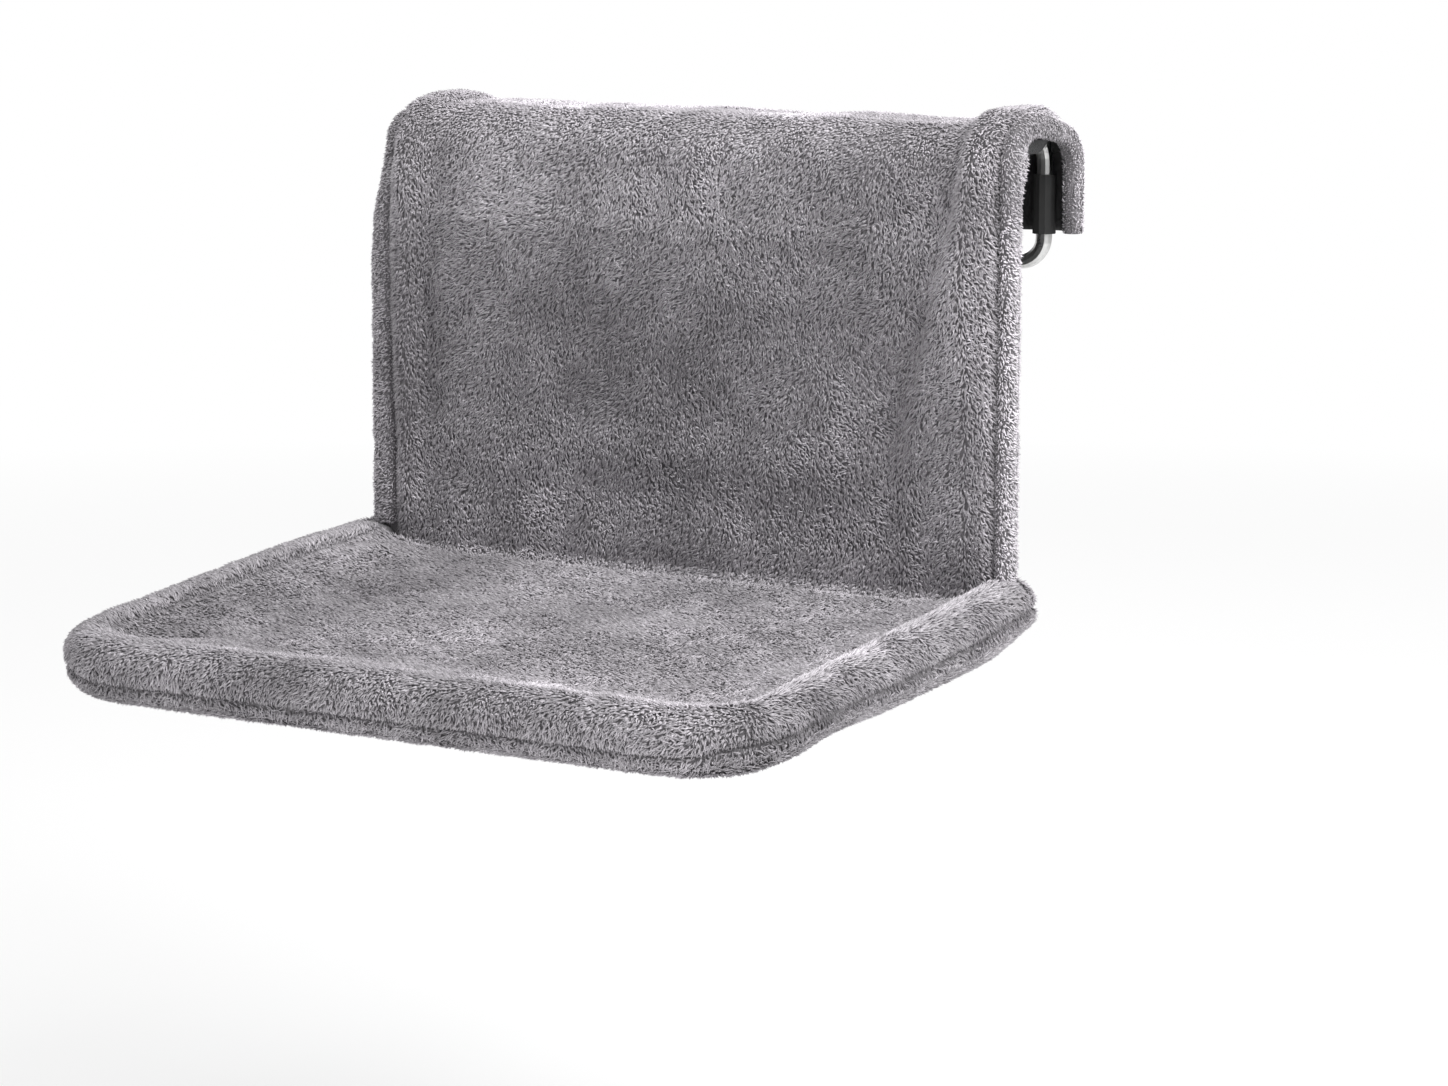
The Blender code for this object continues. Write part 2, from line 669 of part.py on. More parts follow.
def make_rim_cap(word, side, parts, guides):
    """The sewn end of the rim roll, a cup behind the seat that hides the corner socket."""
    rear = STAND_OFF - LINING - GAP
    inner = ROLL_RADIUS - CAP_WALL
    front = SEAT_REAR + GAP
    profile = [
        (0, rear),
        (ROLL_RADIUS - CAP_WALL / 2, rear),
        (ROLL_RADIUS, rear - CAP_WALL / 2),
        (ROLL_RADIUS, front),
        (inner, front),
        (inner, rear - CAP_WALL + GAP),
        (0, rear - CAP_WALL + GAP),
    ]
    along_back = Matrix.Rotation(-math.pi / 2, 4, "X")
    place = seat_place() @ Matrix.Translation((side * SEAT_TUBE_X, 0, 0)) @ along_back
    item = turned("rim_cap_" + word, profile, place, parts)
    window_x = HANGER_X + SOCKET_RADIUS + WINDOW_MARGIN
    low_x, high_x = sorted((side * (window_x - ROLL_RADIUS), side * window_x))
    window = box(
        "cap_window_" + word,
        (low_x, -STAND_OFF - SOCKET_RADIUS - GAP, -SEAT_DROP - ROLL_RADIUS),
        (high_x, OVERRUN, -SEAT_DROP + ROLL_RADIUS),
        guides,
    )
    combine(item, window, "DIFFERENCE")
    return finish(item, "grey_plush")


def make_hook(word, side, parts):
    """A rear hook: slides in the arm, turns down behind the radiator and in to the rear tube."""
    x = side * HANGER_X
    points = [Vector((x, ARM_START_Y + ROD_INSET, STAND_OFF))]
    centre = Vector((x, REAR_BEND_Y, BEND_Z))
    points += arc(centre, BEND_RADIUS, math.pi / 2, 0, BEND_STEPS, BACK, UP)
    turn = Vector((side * (HANGER_X - TAIL_TURN_RADIUS), TAIL_Y, -TAIL_DROP + TAIL_TURN_RADIUS))
    points += arc(turn, TAIL_TURN_RADIUS, 0, -math.pi / 2, BEND_STEPS, side * SIDE, UP)
    points.append(points[-1] - side * SIDE * TAIL_LEG_LENGTH)
    return finish(tube("hook_" + word, points, ROD_RADIUS, parts), "zinc_rod")


def make_tail_sleeve(word, side, parts):
    """The soft sleeve on a hook's tail, which bears on the radiator's back."""
    top = Vector((side * HANGER_X, TAIL_Y, -SLEEVE_TOP_DROP))
    item = tube("tail_sleeve_" + word, [top, top - UP * SLEEVE_LENGTH], SLEEVE_RADIUS, parts, ROD_RADIUS + GAP)
    return finish(item, "rubber")


def make_arm_pad(word, side, parts, guides):
    """The rubber pad under an arm, grooved to the tube."""
    x = side * HANGER_X
    start = ARM_START_Y + PAD_INSET
    item = box(
        "arm_pad_" + word,
        (x - PAD_WIDTH / 2, start, LINING + GAP),
        (x + PAD_WIDTH / 2, start + PAD_LENGTH, LINING + GAP + PAD_RISE),
        parts,
    )
    before = Vector((x, start - OVERRUN, STAND_OFF))
    behind = Vector((x, start + PAD_LENGTH + OVERRUN, STAND_OFF))
    combine(item, cylinder("pad_groove_" + word, TUBE_RADIUS + GAP, before, behind, guides), "DIFFERENCE")
    return finish(item, "rubber")


def make_clamp_collar(word, side, parts, guides):
    """The collar at an arm's mouth, with the boss that takes the clamp screw."""
    x = side * HANGER_X
    rear = Vector((x, ARM_END_Y, STAND_OFF))
    front = rear - BACK * COLLAR_LENGTH
    item = cylinder("clamp_collar_" + word, SOCKET_RADIUS, front, rear, parts)
    middle = Vector((x, COLLAR_Y, STAND_OFF))
    tip = middle - side * SIDE * (SOCKET_RADIUS + BOSS_LENGTH)
    combine(item, cylinder("boss_" + word, BOSS_RADIUS, middle, tip, guides), "UNION")
    past = BACK * OVERRUN
    bore = cylinder("collar_bore_" + word, TUBE_RADIUS + GAP, front - past, rear + past, guides)
    combine(item, bore, "DIFFERENCE")
    start, end = clamp_line(side)
    combine(item, cylinder("collar_hole_" + word, CLAMP_RADIUS + GAP, start, end, guides), "DIFFERENCE")
    return finish(item, "nylon")


def make_clamp_screw(word, side, parts):
    """The thumb screw that holds a hook in its arm. It turns about its own axis."""
    face = SOCKET_RADIUS + BOSS_LENGTH + GAP
    profile = [
        (0, face + KNOB_LENGTH),
        (KNOB_RADIUS - KNOB_CHAMFER, face + KNOB_LENGTH),
        (KNOB_RADIUS, face + KNOB_LENGTH - KNOB_CHAMFER),
        (KNOB_RADIUS, face + KNOB_CHAMFER),
        (KNOB_RADIUS - KNOB_CHAMFER, face),
        (CLAMP_RADIUS, face),
        (CLAMP_RADIUS, ROD_RADIUS + GAP),
        (0, ROD_RADIUS + GAP),
    ]
    place = Matrix.Translation((side * HANGER_X, COLLAR_Y, STAND_OFF))
    place = place @ Matrix.Rotation(-side * math.pi / 2, 4, "Y")
    return finish(turned("clamp_screw_" + word, profile, place, parts), "screw_steel")


def make_cross_bar(word, drop, parts):
    """A hollow bar between the hangers."""
    reach = HANGER_X - TUBE_RADIUS - GAP
    ends = [Vector((-reach, -STAND_OFF, -drop)), Vector((reach, -STAND_OFF, -drop))]
    item = tube("cross_bar_" + word, ends, CROSS_BAR_RADIUS, parts, CROSS_BAR_BORE_RADIUS)
    return finish(item, "powder_coat")


def stud(name, head_radius, head_height, shank_radius, start, end, collection):
    """A pan-headed screw whose head sits at the start and whose tip is at the end."""
    length = (Vector(end) - Vector(start)).length
    profile = [
        (0, head_height),
        (head_radius * HEAD_FLAT_SHARE, head_height),
        (head_radius, head_height / 2),
        (head_radius, 0),
        (shank_radius, 0),
        (shank_radius, -length),
        (0, -length),
    ]
    turn = (Vector(start) - Vector(end)).to_track_quat("Z", "Y").to_matrix().to_4x4()
    return turned(name, profile, Matrix.Translation(start) @ turn, collection)


def make_fasteners(word, side, parts):
    """The bolts of the cross bars and the screws of the corner socket, on one side."""
    for bar, drop in CROSS_BAR_DROPS.items():
        start = Vector((side * (HANGER_X + TUBE_RADIUS + GAP), -STAND_OFF, -drop))
        end = start - side * SIDE * (2 * TUBE_RADIUS + BOLT_GRIP)
        name = f"{bar}_bar_bolt_{word}"
        bolt = stud(name, BOLT_HEAD_RADIUS, BOLT_HEAD_HEIGHT, BOLT_RADIUS, start, end, parts)
        finish(bolt, "screw_steel")
    for place, (start, end) in (
        ("hanger", socket_screw_line(side)),
        ("seat_tube", seat_screw_line(side)),
    ):
        tip = end + (start - end).normalized() * GAP
        name = f"{place}_screw_{word}"
        screw = stud(name, SCREW_HEAD_RADIUS, SCREW_HEAD_HEIGHT, SCREW_RADIUS, start, tip, parts)
        finish(screw, "screw_steel")


def make_lining(parts):
    """The smooth back layer of the cover, which lies on the radiator's face and top."""
    outline = [
        (0, -SEAT_DROP + SEAM_DROP),
        (0, 0),
        (ARM_END_Y, 0),
        (ARM_END_Y, LINING),
        (0, LINING),
    ]
    for step in range(1, FOLD_STEPS + 1):
        angle = math.pi / 2 * step / FOLD_STEPS
        outline.append((-LINING * math.sin(angle), LINING * math.cos(angle)))
    outline.append((-LINING, -SEAT_DROP + SEAM_DROP))
    bm = bmesh.new()
    ring = [bm.verts.new((-COVER_HALF_WIDTH, y, z)) for y, z in outline]
    face = bm.faces.new(ring)
    grown = bmesh.ops.extrude_face_region(bm, geom=[face])
    moved = [element for element in grown["geom"] if isinstance(element, bmesh.types.BMVert)]
    bmesh.ops.translate(bm, vec=SIDE * 2 * COVER_HALF_WIDTH, verts=moved)
    bmesh.ops.recalc_face_normals(bm, faces=bm.faces)
    return finish(mesh_object("cover_lining", bm, parts), "grey_lining")


def cover_columns():
    """The lines across the cover: close together over the hangers, wide apart between them."""
    foot = [RIDGE_FOOT_X * share for share in FLAT_COLUMN_SHARES]
    slope = RIDGE_INNER_X - RIDGE_FOOT_X
    half = foot + [RIDGE_FOOT_X + slope * share for share in SLOPE_COLUMN_SHARES]
    cap_edge = SEAT_TUBE_X - ROLL_RADIUS
    half += [HANGER_X, cap_edge - GAP, cap_edge + GAP, RIDGE_OUTER_X]
    half += [(RIDGE_OUTER_X + COVER_HALF_WIDTH) / 2, COVER_HALF_WIDTH]
    return [-x for x in reversed(half) if x > 0] + half


def make_cover(parts, guides):
    """The plush outer layer: the back panel with the front of the top, and the flap on the hooks."""

    def panel_bottom(x):
        past = abs(x) - (SEAT_TUBE_X - ROLL_RADIUS)
        if past < 0:
            return -SEAM_TUCK
        return CAP_MARGIN + math.sqrt(ROLL_RADIUS**2 - (ROLL_RADIUS - past) ** 2)

    def flap_bottom(_x):
        return FLAP_START

    cloth("back_panel", cover_columns(), line_stations(-SEAM_TUCK, PANEL_LENGTH), panel_bottom, parts)
    cloth("rear_flap", cover_columns(), line_stations(FLAP_START, FLAP_LENGTH), flap_bottom, parts)
    for word, side in SIDES.items():
        hem_start = SEAT_DROP + CAP_TOP_Z + GAP
        hem("side_hem_" + word, side, hem_start, PANEL_LENGTH, parts, guides)
        hem("flap_hem_" + word, side, FLAP_START, FLAP_LENGTH, parts, guides)


def make_rear_tube(parts):
    """The tube across the radiator's back that keeps the two hooks in step."""
    ends = [Vector((x, TAIL_Y, -TAIL_DROP)) for x in (-REAR_TUBE_HALF_LENGTH, REAR_TUBE_HALF_LENGTH)]
    return finish(tube("rear_tube", ends, TUBE_RADIUS, parts, TUBE_BORE_RADIUS), "powder_coat")


def make_zip(seat, parts, guides):
    """The zip under the seat: tape, coil, slider and pull. The slider starts at the left end."""
    face = seat_base_height(SEAT_CORNER_RADIUS)
    tape_z = face - GAP - TAPE_THICKNESS
    half = ZIP_LENGTH / 2
    tape = box(
        "zip_tape",
        (-half, -ZIP_SETBACK - TAPE_WIDTH / 2, tape_z),
        (half, -ZIP_SETBACK + TAPE_WIDTH / 2, tape_z + TAPE_THICKNESS),
        parts,
    )
    finish(tape, "grey_lining")
    coil_z = tape_z - GAP
    coil = box(
        "zip_coil",
        (-half, -ZIP_SETBACK - COIL_WIDTH / 2, coil_z - COIL_HEIGHT),
        (half, -ZIP_SETBACK + COIL_WIDTH / 2, coil_z),
        parts,
    )
    finish(coil, "nylon")

    pin = Vector((-half + SLIDER_LENGTH, -ZIP_SETBACK, coil_z - SLIDER_HEIGHT - PULL_PIN_DROP))
    length, width = SLIDER_LENGTH / 2, SLIDER_WIDTH / 2
    slider = box(
        "zip_slider", (-length, -width, PULL_PIN_DROP), (length, width, PULL_PIN_DROP + SLIDER_HEIGHT), parts
    )
    slot_top = PULL_PIN_DROP + SLIDER_HEIGHT
    slot_half = COIL_WIDTH / 2 + SLIDER_CLEARANCE
    slot = box(
        "slider_slot",
        (-length - OVERRUN, -slot_half, slot_top - COIL_HEIGHT - SLIDER_CLEARANCE),
        (length + OVERRUN, slot_half, slot_top + OVERRUN),
        guides,
    )
    centre = Vector((0, 0, PULL_PIN_DROP + BAIL_WIRE_RADIUS / 2))
    bail_points = arc(centre, BAIL_RADIUS, -math.pi, 0, BEND_STEPS, SIDE, UP)
    bail = as_mesh(tube("bail", bail_points, BAIL_WIRE_RADIUS, guides), guides)
    combine(slider, slot, "DIFFERENCE")
    combine(slider, bail, "UNION")
    finish(slider, "zip_metal")

    low = PULL_THICKNESS / 2 - PULL_LENGTH
    pull = box(
        "zip_pull",
        (-PULL_THICKNESS / 2, -PULL_WIDTH / 2, low),
        (PULL_THICKNESS / 2, PULL_WIDTH / 2, PULL_THICKNESS / 2),
        parts,
    )
    eye = box(
        "pull_eye",
        (-OVERRUN, -PULL_EYE_WIDTH / 2, -PULL_THICKNESS / 2 - PULL_EYE_LENGTH),
        (OVERRUN, PULL_EYE_WIDTH / 2, -PULL_THICKNESS / 2),
        guides,
    )
    combine(pull, eye, "DIFFERENCE")
    finish(pull, "zip_metal")

    for item in (tape, coil):
        item.parent = seat
    for item in (slider, slot, bail, pull, eye):
        item.parent = seat
        item.location = pin


def main():
    clear_scene()
    parts = new_collection("radiator_cat_bed")
    guides = new_collection("guides")
    seat = bpy.data.objects.new("seat_plane", None)
    seat.matrix_world = seat_place()
    parts.objects.link(seat)
    for word, side in SIDES.items():
        make_hanger(word, side, parts, guides)
        make_corner(word, side, parts, guides)
        make_rim_cap(word, side, parts, guides)
        make_hook(word, side, parts)
        make_tail_sleeve(word, side, parts)
        make_arm_pad(word, side, parts, guides)
        make_clamp_collar(word, side, parts, guides)
        make_clamp_screw(word, side, parts)
        make_fasteners(word, side, parts)
    for word, drop in CROSS_BAR_DROPS.items():
        make_cross_bar(word, drop, parts)
    make_rear_tube(parts)
    make_seat_tube(parts, guides)
    make_rim_foam(seat, parts)
    make_seat_layers(seat, parts)
    make_lining(parts)
    make_cover(parts, guides)
    make_zip(seat, parts, guides)


main()
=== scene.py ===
"""The looks of the radiator bed: pile, cloth, steel, plastic and rubber, with floor, lights and camera."""

import math

import bmesh
import bpy
import numpy as np
from mathutils import Matrix, Vector
from mathutils.bvhtree import BVHTree


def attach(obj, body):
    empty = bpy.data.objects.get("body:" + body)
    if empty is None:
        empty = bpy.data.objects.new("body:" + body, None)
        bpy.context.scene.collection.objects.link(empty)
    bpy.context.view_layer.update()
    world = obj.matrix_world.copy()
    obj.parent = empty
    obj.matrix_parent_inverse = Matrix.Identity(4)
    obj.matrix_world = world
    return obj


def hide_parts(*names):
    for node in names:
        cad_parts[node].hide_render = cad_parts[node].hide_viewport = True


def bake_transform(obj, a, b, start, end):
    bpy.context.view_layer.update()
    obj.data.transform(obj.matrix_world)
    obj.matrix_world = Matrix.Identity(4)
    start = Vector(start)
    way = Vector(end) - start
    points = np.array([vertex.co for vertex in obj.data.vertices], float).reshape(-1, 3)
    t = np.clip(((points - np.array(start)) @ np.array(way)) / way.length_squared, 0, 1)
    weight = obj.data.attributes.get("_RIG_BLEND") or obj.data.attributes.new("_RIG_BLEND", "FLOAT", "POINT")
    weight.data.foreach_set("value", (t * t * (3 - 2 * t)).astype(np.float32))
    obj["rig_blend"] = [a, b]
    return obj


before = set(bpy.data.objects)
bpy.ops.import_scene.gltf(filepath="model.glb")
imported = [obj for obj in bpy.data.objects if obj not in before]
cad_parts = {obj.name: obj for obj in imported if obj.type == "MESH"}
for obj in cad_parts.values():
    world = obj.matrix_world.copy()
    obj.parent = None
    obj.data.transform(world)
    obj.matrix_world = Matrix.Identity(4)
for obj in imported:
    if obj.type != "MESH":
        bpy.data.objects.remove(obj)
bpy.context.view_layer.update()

MM = 0.001

# Sizes that the looks share with the solids
SEAT_HALF_WIDTH = 230 * MM
SEAT_REACH = 312 * MM
SEAT_DROP = 241 * MM
SEAT_TILT = math.radians(5)
SEAT_CORNER = 57 * MM
ROLL = 17 * MM
STAND_OFF = 12.5 * MM
BEND = 20 * MM
BEND_Z = STAND_OFF - BEND
FRONT_BEND_Y = 7.5 * MM
REAR_BEND_Y = 40.5 * MM
ARM_END_Y = 35 * MM
COVER_HALF_WIDTH = 204 * MM
HEM_OFFSET = 5 * MM
RIDGE = 14.3 * MM
SEAT_REAR = -15.4 * MM
TUBE_X = SEAT_HALF_WIDTH - ROLL
RISE = SEAT_DROP + BEND_Z
QUARTER = BEND * math.pi / 2
FLAT = REAR_BEND_Y - FRONT_BEND_Y
COVER_RUN = RISE + 2 * QUARTER + FLAT + 37.5 * MM

# The pile's depth, and the spacing of its locks
PILE = 2.6 * MM
LOCK_SPACING = 1.26 * MM

# Seams, stitch lines and bindings
STITCH_INSET = 34.5 * MM
SIDES = {"left": -1, "right": 1}
LEFT_SEAM = 195.5 * MM
LEFT_SLACK = 9.2 * MM
HANGER_REACH = 190 * MM
# Each binding: its middle, its half width, and how much paler its pile is painted in front and over the
# radiator, as painted light.
BINDINGS = {"left": (-204.0 * MM, 8.2 * MM, 1.25, 1.2), "right": (208.5 * MM, 4.8 * MM, 1.7, 1.15)}


# Shapes and noise


def ease(value, low, high):
    """0 below low, 1 above high and a smooth rise between them."""
    share = np.clip((np.asarray(value, float) - low) / (high - low), 0, 1)
    return share * share * (3 - 2 * share)


def climb(value, low, high, base=0.0):
    """ease between two limits in millimetres, counted from a base."""
    return ease(value, base + low * MM, base + high * MM)


def bell(value, width):
    """1 at zero, falling away on both sides within so many millimetres."""
    return np.exp(-((value / (width * MM)) ** 2))


def lattice(x, y, z, seed):
    """A steady number from 0 to 1 for each lattice point."""
    mixed = ((x * 73856093) ^ (y * 19349663) ^ (z * 83492791) ^ (seed * 40503)) & 0xFFFFFFFF
    mixed = ((mixed ^ (mixed >> 15)) * 73244475) & 0xFFFFFFFF
    mixed = ((mixed ^ (mixed >> 13)) * 73244475) & 0xFFFFFFFF
    return ((mixed ^ (mixed >> 16)) & 0xFFFF) / 65535


def wander(points, cell, seed):
    """Smooth noise from -1 to 1 at each point. The cell is its grain, one size or three."""
    spot = np.asarray(points, float) / cell
    base = np.floor(spot).astype(np.int64)
    part = spot - base
    part = part * part * (3 - 2 * part)
    total = np.zeros(len(spot))
    for corner in range(8):
        step = np.array([corner & 1, corner >> 1 & 1, corner >> 2 & 1])
        weight = np.prod(np.where(step == 1, part, 1 - part), axis=1)
        total += weight * lattice(*(base + step).T, seed)
    return 2 * total - 1


def unit(vectors):
    """The same directions, one long."""
    return vectors / np.maximum(np.linalg.norm(vectors, axis=1, keepdims=True), 1e-12)


def laid(ways, outward):
    """Ways laid flat on a surface, one long."""
    return unit(ways - outward * np.sum(ways * outward, axis=1, keepdims=True))


def swung(way, side, yaw):
    """Ways swung towards another by an angle each."""
    return way * np.cos(yaw)[:, None] + side * np.sin(yaw)[:, None]


def stack(*parts):
    """Columns of numbers as rows of places."""
    return np.stack(np.broadcast_arrays(*parts), axis=-1).astype(float)


def grain(x, y, across, along, seed):
    """Smooth noise from -1 to 1 on a flat cloth. Its grain across and along is in millimetres."""
    return wander(stack(x, y, 0), (across * MM, along * MM, 1), seed)


def shown(name, data):
    """A new object in the scene."""
    item = bpy.data.objects.new(name, data)
    bpy.context.scene.collection.objects.link(item)
    return item


def piece(name, bm, *finishes):
    """A piece made of a bmesh, shaded smooth."""
    mesh = bpy.data.meshes.new(name)
    bm.to_mesh(mesh)
    bm.free()
    mesh.shade_smooth()
    for finish in finishes:
        mesh.materials.append(finish)
    return shown(name, mesh)


def places(item, kind="co"):
    """The places of a piece's points, or another kind of value with three numbers."""
    found = np.empty(len(item.data.vertices) * 3)
    item.data.vertices.foreach_get(kind, found)
    return found.reshape(-1, 3)


def put(item, spots):
    """Moves a piece's points."""
    item.data.vertices.foreach_set("co", np.ascontiguousarray(spots, dtype=np.float32).ravel())
    item.data.update()


def mark(item, **numbers):
    """Keeps numbers for each point of a piece, by their names."""
    for name, values in numbers.items():
        kept = item.data.attributes.new(name, "FLOAT", "POINT")
        kept.data.foreach_set("value", values.astype(np.float32))
    return item


def laid_out(name, columns, rows, place_of, *finishes):
    """A sheet from an even grid: place_of turns the shares across and along into places."""
    bm = bmesh.new()
    bmesh.ops.create_grid(bm, x_segments=columns, y_segments=rows, size=0.5)
    item = piece(name, bm, *finishes)
    shares = places(item) + 0.5
    put(item, place_of(shares[:, 0], shares[:, 1]))
    return item


def reworked(item, change):
    """Runs bmesh operators on a piece's mesh."""
    bm = bmesh.new()
    bm.from_mesh(item.data)
    change(bm)
    bm.to_mesh(item.data)
    bm.free()
    item.data.shade_smooth()
    return item


def settled(item):
    """Applies a piece's modifiers to its mesh."""
    graph = bpy.context.evaluated_depsgraph_get()
    mesh = bpy.data.meshes.new_from_object(item.evaluated_get(graph))
    item.modifiers.clear()
    item.data = mesh
    mesh.shade_smooth()
    return item


def walled(item, thickness, inside=0):
    """Gives a sheet a wall on its inner side."""
    wall = item.modifiers.new("wall", "SOLIDIFY")
    wall.thickness = thickness
    wall.offset = -1
    wall.material_offset = inside
    return item


# Materials


def wired(tree, kind, inputs=(), **settings):
    """Adds a shader node with its settings, joins or sets its inputs, and gives its outputs."""
    node = tree.nodes.new("ShaderNode" + kind)
    for name, value in settings.items():
        setattr(node, name, value)
    for key, value in inputs.items() if isinstance(inputs, dict) else enumerate(inputs):
        if isinstance(value, bpy.types.NodeSocket):
            tree.links.new(value, node.inputs[key])
        else:
            node.inputs[key].default_value = value
    return node.outputs


class Finish:
    """A material being put together from shader nodes."""

    def __init__(self, name, roughness, metallic=0.0, **sockets):
        self.material = bpy.data.materials.new(name)
        self.material.use_nodes = True
        self.tree = self.material.node_tree
        self.shader = self.tree.nodes["Principled BSDF"]
        self.spots = self.node("TexCoord")["Object"]
        for key, value in {"Roughness": roughness, "Metallic": metallic, **sockets}.items():
            self.shader.inputs[key.replace("_", " ")].default_value = value

    def node(self, kind, inputs=(), **settings):
        return wired(self.tree, kind, inputs, **settings)

    def where(self, scale=(1, 1, 1), turn=(0, 0, 0)):
        """Object coordinates, stretched and turned."""
        return self.node("Mapping", {"Vector": self.spots, "Scale": scale, "Rotation": turn})["Vector"]

    def noise(self, scale, detail=2.0, rough=0.5, stretch=(1, 1, 1), bend=0.0):
        """Noise from 0 to 1, with so many grains to the metre."""
        grain = {"Scale": scale, "Detail": detail, "Roughness": rough, "Distortion": bend}
        return self.node("TexNoise", {"Vector": self.where(stretch), **grain})["Fac"]

    def ramp(self, source, *stops):
        """Turns a number into a colour. Each stop is a place and a colour."""
        colour = self.node("ValToRGB", {"Fac": source})["Color"]
        elements = colour.node.color_ramp.elements
        while len(elements) < len(stops):
            elements.new(0.5)
        for element, (spot, shade) in zip(elements, stops):
            element.position = spot
            element.color = (*shade, 1)
        return colour

    def span(self, source, *ranges):
        """A number taken from one range to another."""
        limits = dict(zip(("From Min", "From Max", "To Min", "To Max"), ranges))
        return self.node("MapRange", {"Value": source, **limits})["Result"]

    def sum(self, first, second, operation="ADD"):
        """Two numbers added, multiplied or compared."""
        return self.node("Math", (first, second), operation=operation)[0]

    def multiplied(self, colour, other):
        """One colour multiplied by another."""
        factor, colour_a, colour_b, mixed = 0, 6, 7, 2
        inputs = {factor: 1.0, colour_a: colour, colour_b: other}
        return self.node("Mix", inputs, data_type="RGBA", blend_type="MULTIPLY")[mixed]

    def attribute(self, name):
        """A number kept on the piece's points."""
        return self.node("Attribute", attribute_name=name)["Fac"]

    def joined(self, source, socket="Base Color"):
        """Joins an output to one of the shader's sockets."""
        self.tree.links.new(source, self.shader.inputs[socket])
        return self.material

    def bump(self, height, distance, strength=1.0):
        """Raises the surface by a height from 0 to 1 times the distance."""
        relief = {"Height": height, "Distance": distance, "Strength": strength}
        return self.joined(self.node("Bump", relief)["Normal"], "Normal")


def grey(level):
    """The plush's purplish grey at one level."""
    return (0.99 * level, 0.945 * level, 1.0 * level)


def pile_finish():
    """The locks of the pile: darker towards the root as painted shade deep in the pile, pale at the tip,
    each with its own depth of colour from random dyeing and painted light.
    """
    sheen = {"Sheen_Weight": 0.14, "Sheen_Roughness": 0.45, "Sheen_Tint": (0.95, 0.92, 0.95, 1)}
    finish = Finish("plush_pile", 1.0, Specular_IOR_Level=0.15, **sheen)
    # Darker towards the root: painted shade deep in the pile.
    stops = (0.0, grey(0.12)), (0.4, grey(0.36)), (1.0, grey(0.70))
    rise = finish.ramp(finish.attribute("rise"), *stops)
    # Each lock's random dye times its painted light and shade.
    dye = finish.node("CombineColor", (finish.attribute("dye"),) * 3)["Color"]
    return finish.joined(finish.multiplied(rise, dye))


def ground_finish():
    """The knitted ground of the plush under its pile, coloured darker than the locks as painted shade under
    them.
    """
    finish = Finish("plush_ground", 1.0, Sheen_Weight=0.2, Sheen_Roughness=0.5, Specular_IOR_Level=0.1)
    patches = finish.noise(26, 3, 0.6)
    strands = finish.noise(620, 3, 0.65, (1, 1, 0.35), 0.6)
    level = finish.sum(finish.sum(patches, strands, "MULTIPLY"), 2.0, "MULTIPLY")
    # Darker than the locks: painted shade under the pile.
    finish.joined(finish.ramp(level, (0.15, grey(0.07)), (0.5, grey(0.18)), (0.85, grey(0.3))))
    return finish.bump(strands, 0.0012)


def weave_finish(name, level, threads):
    """A plain woven cloth: threads that cross, darker in the hollows between them as painted shade, worn
    paler in patches.
    """
    finish = Finish(name, 0.9, Sheen_Weight=0.05, Specular_IOR_Level=0.2)
    wave = {"Scale": threads, "Distortion": 0.6, "Detail": 1.0, "Detail Scale": 2.0}
    heights = []
    for turn in ((0, 0, 0), (0, math.radians(90), math.radians(90))):
        inputs = {"Vector": finish.where((1, 1, 1), turn), **wave}
        heights.append(finish.node("TexWave", inputs, wave_type="BANDS", bands_direction="X")["Fac"])
    relief = finish.sum(*heights)
    shade = finish.sum(finish.sum(finish.noise(18, 3, 0.6), finish.noise(900, 2, 0.6)), 0.5, "MULTIPLY")
    dark, pale = (level * 0.86,) * 3, (level * 1.14, level * 1.14, level * 1.19)
    cloth = finish.ramp(shade, (0.3, dark), (0.7, pale))
    # Darker in the hollows between threads: painted shade.
    thread_hollow_shade = finish.ramp(relief, (0.2, (0.72,) * 3), (1.0, (1, 1, 1)))
    finish.joined(finish.multiplied(cloth, thread_hollow_shade))
    return finish.bump(relief, 0.0003, 0.7)


def hard_finish(finish, cloud, low, high, rough, relief, colour_by=None):
    """A hard surface: cloudy in colour and in shine, with a fine relief."""
    finish.joined(finish.ramp(colour_by or cloud, low, high))
    finish.joined(finish.span(cloud, 0.3, 0.7, *rough), "Roughness")
    return finish.bump(*relief)


def coated_finish():
    """Black powder coat with its fine orange peel."""
    finish = Finish("powder_coat", 0.42, Specular_IOR_Level=0.5, Coat_Weight=0.15, Coat_Roughness=0.3)
    low, high = (0.3, (0.022, 0.022, 0.024)), (0.75, (0.045, 0.045, 0.048))
    relief = finish.noise(1500, 2, 0.5), 0.00008, 0.6
    return hard_finish(finish, finish.noise(60, 4, 0.6), low, high, (0.36, 0.5), relief)


def plated_finish(name, level, roughness, stretch):
    """Zinc-plated or polished steel with drawn scratches."""
    finish = Finish(name, roughness, 1.0)
    streaks, cloud = finish.noise(900, 3, 0.6, stretch), finish.noise(40, 3, 0.6)
    low, high = (0.3, (level * 0.8,) * 3), (0.7, (level * 1.12, level * 1.12, level * 1.1))
    both = finish.sum(finish.sum(streaks, cloud), 0.5, "MULTIPLY")
    rough = roughness * 0.8, roughness * 1.3
    return hard_finish(finish, cloud, low, high, rough, (streaks, 0.00005, 0.5), both)


def moulded_finish(name, level, roughness, grain):
    """A moulded plastic or rubber with its fine grain."""
    finish = Finish(name, roughness, Specular_IOR_Level=0.4)
    low, high = (0.3, (level * 0.8,) * 3), (0.75, (level * 1.35,) * 3)
    rough = roughness * 0.9, min(1.0, roughness * 1.15)
    relief = finish.noise(grain, 2, 0.6), 0.0001, 0.6
    return hard_finish(finish, finish.noise(70, 3, 0.6), low, high, rough, relief)


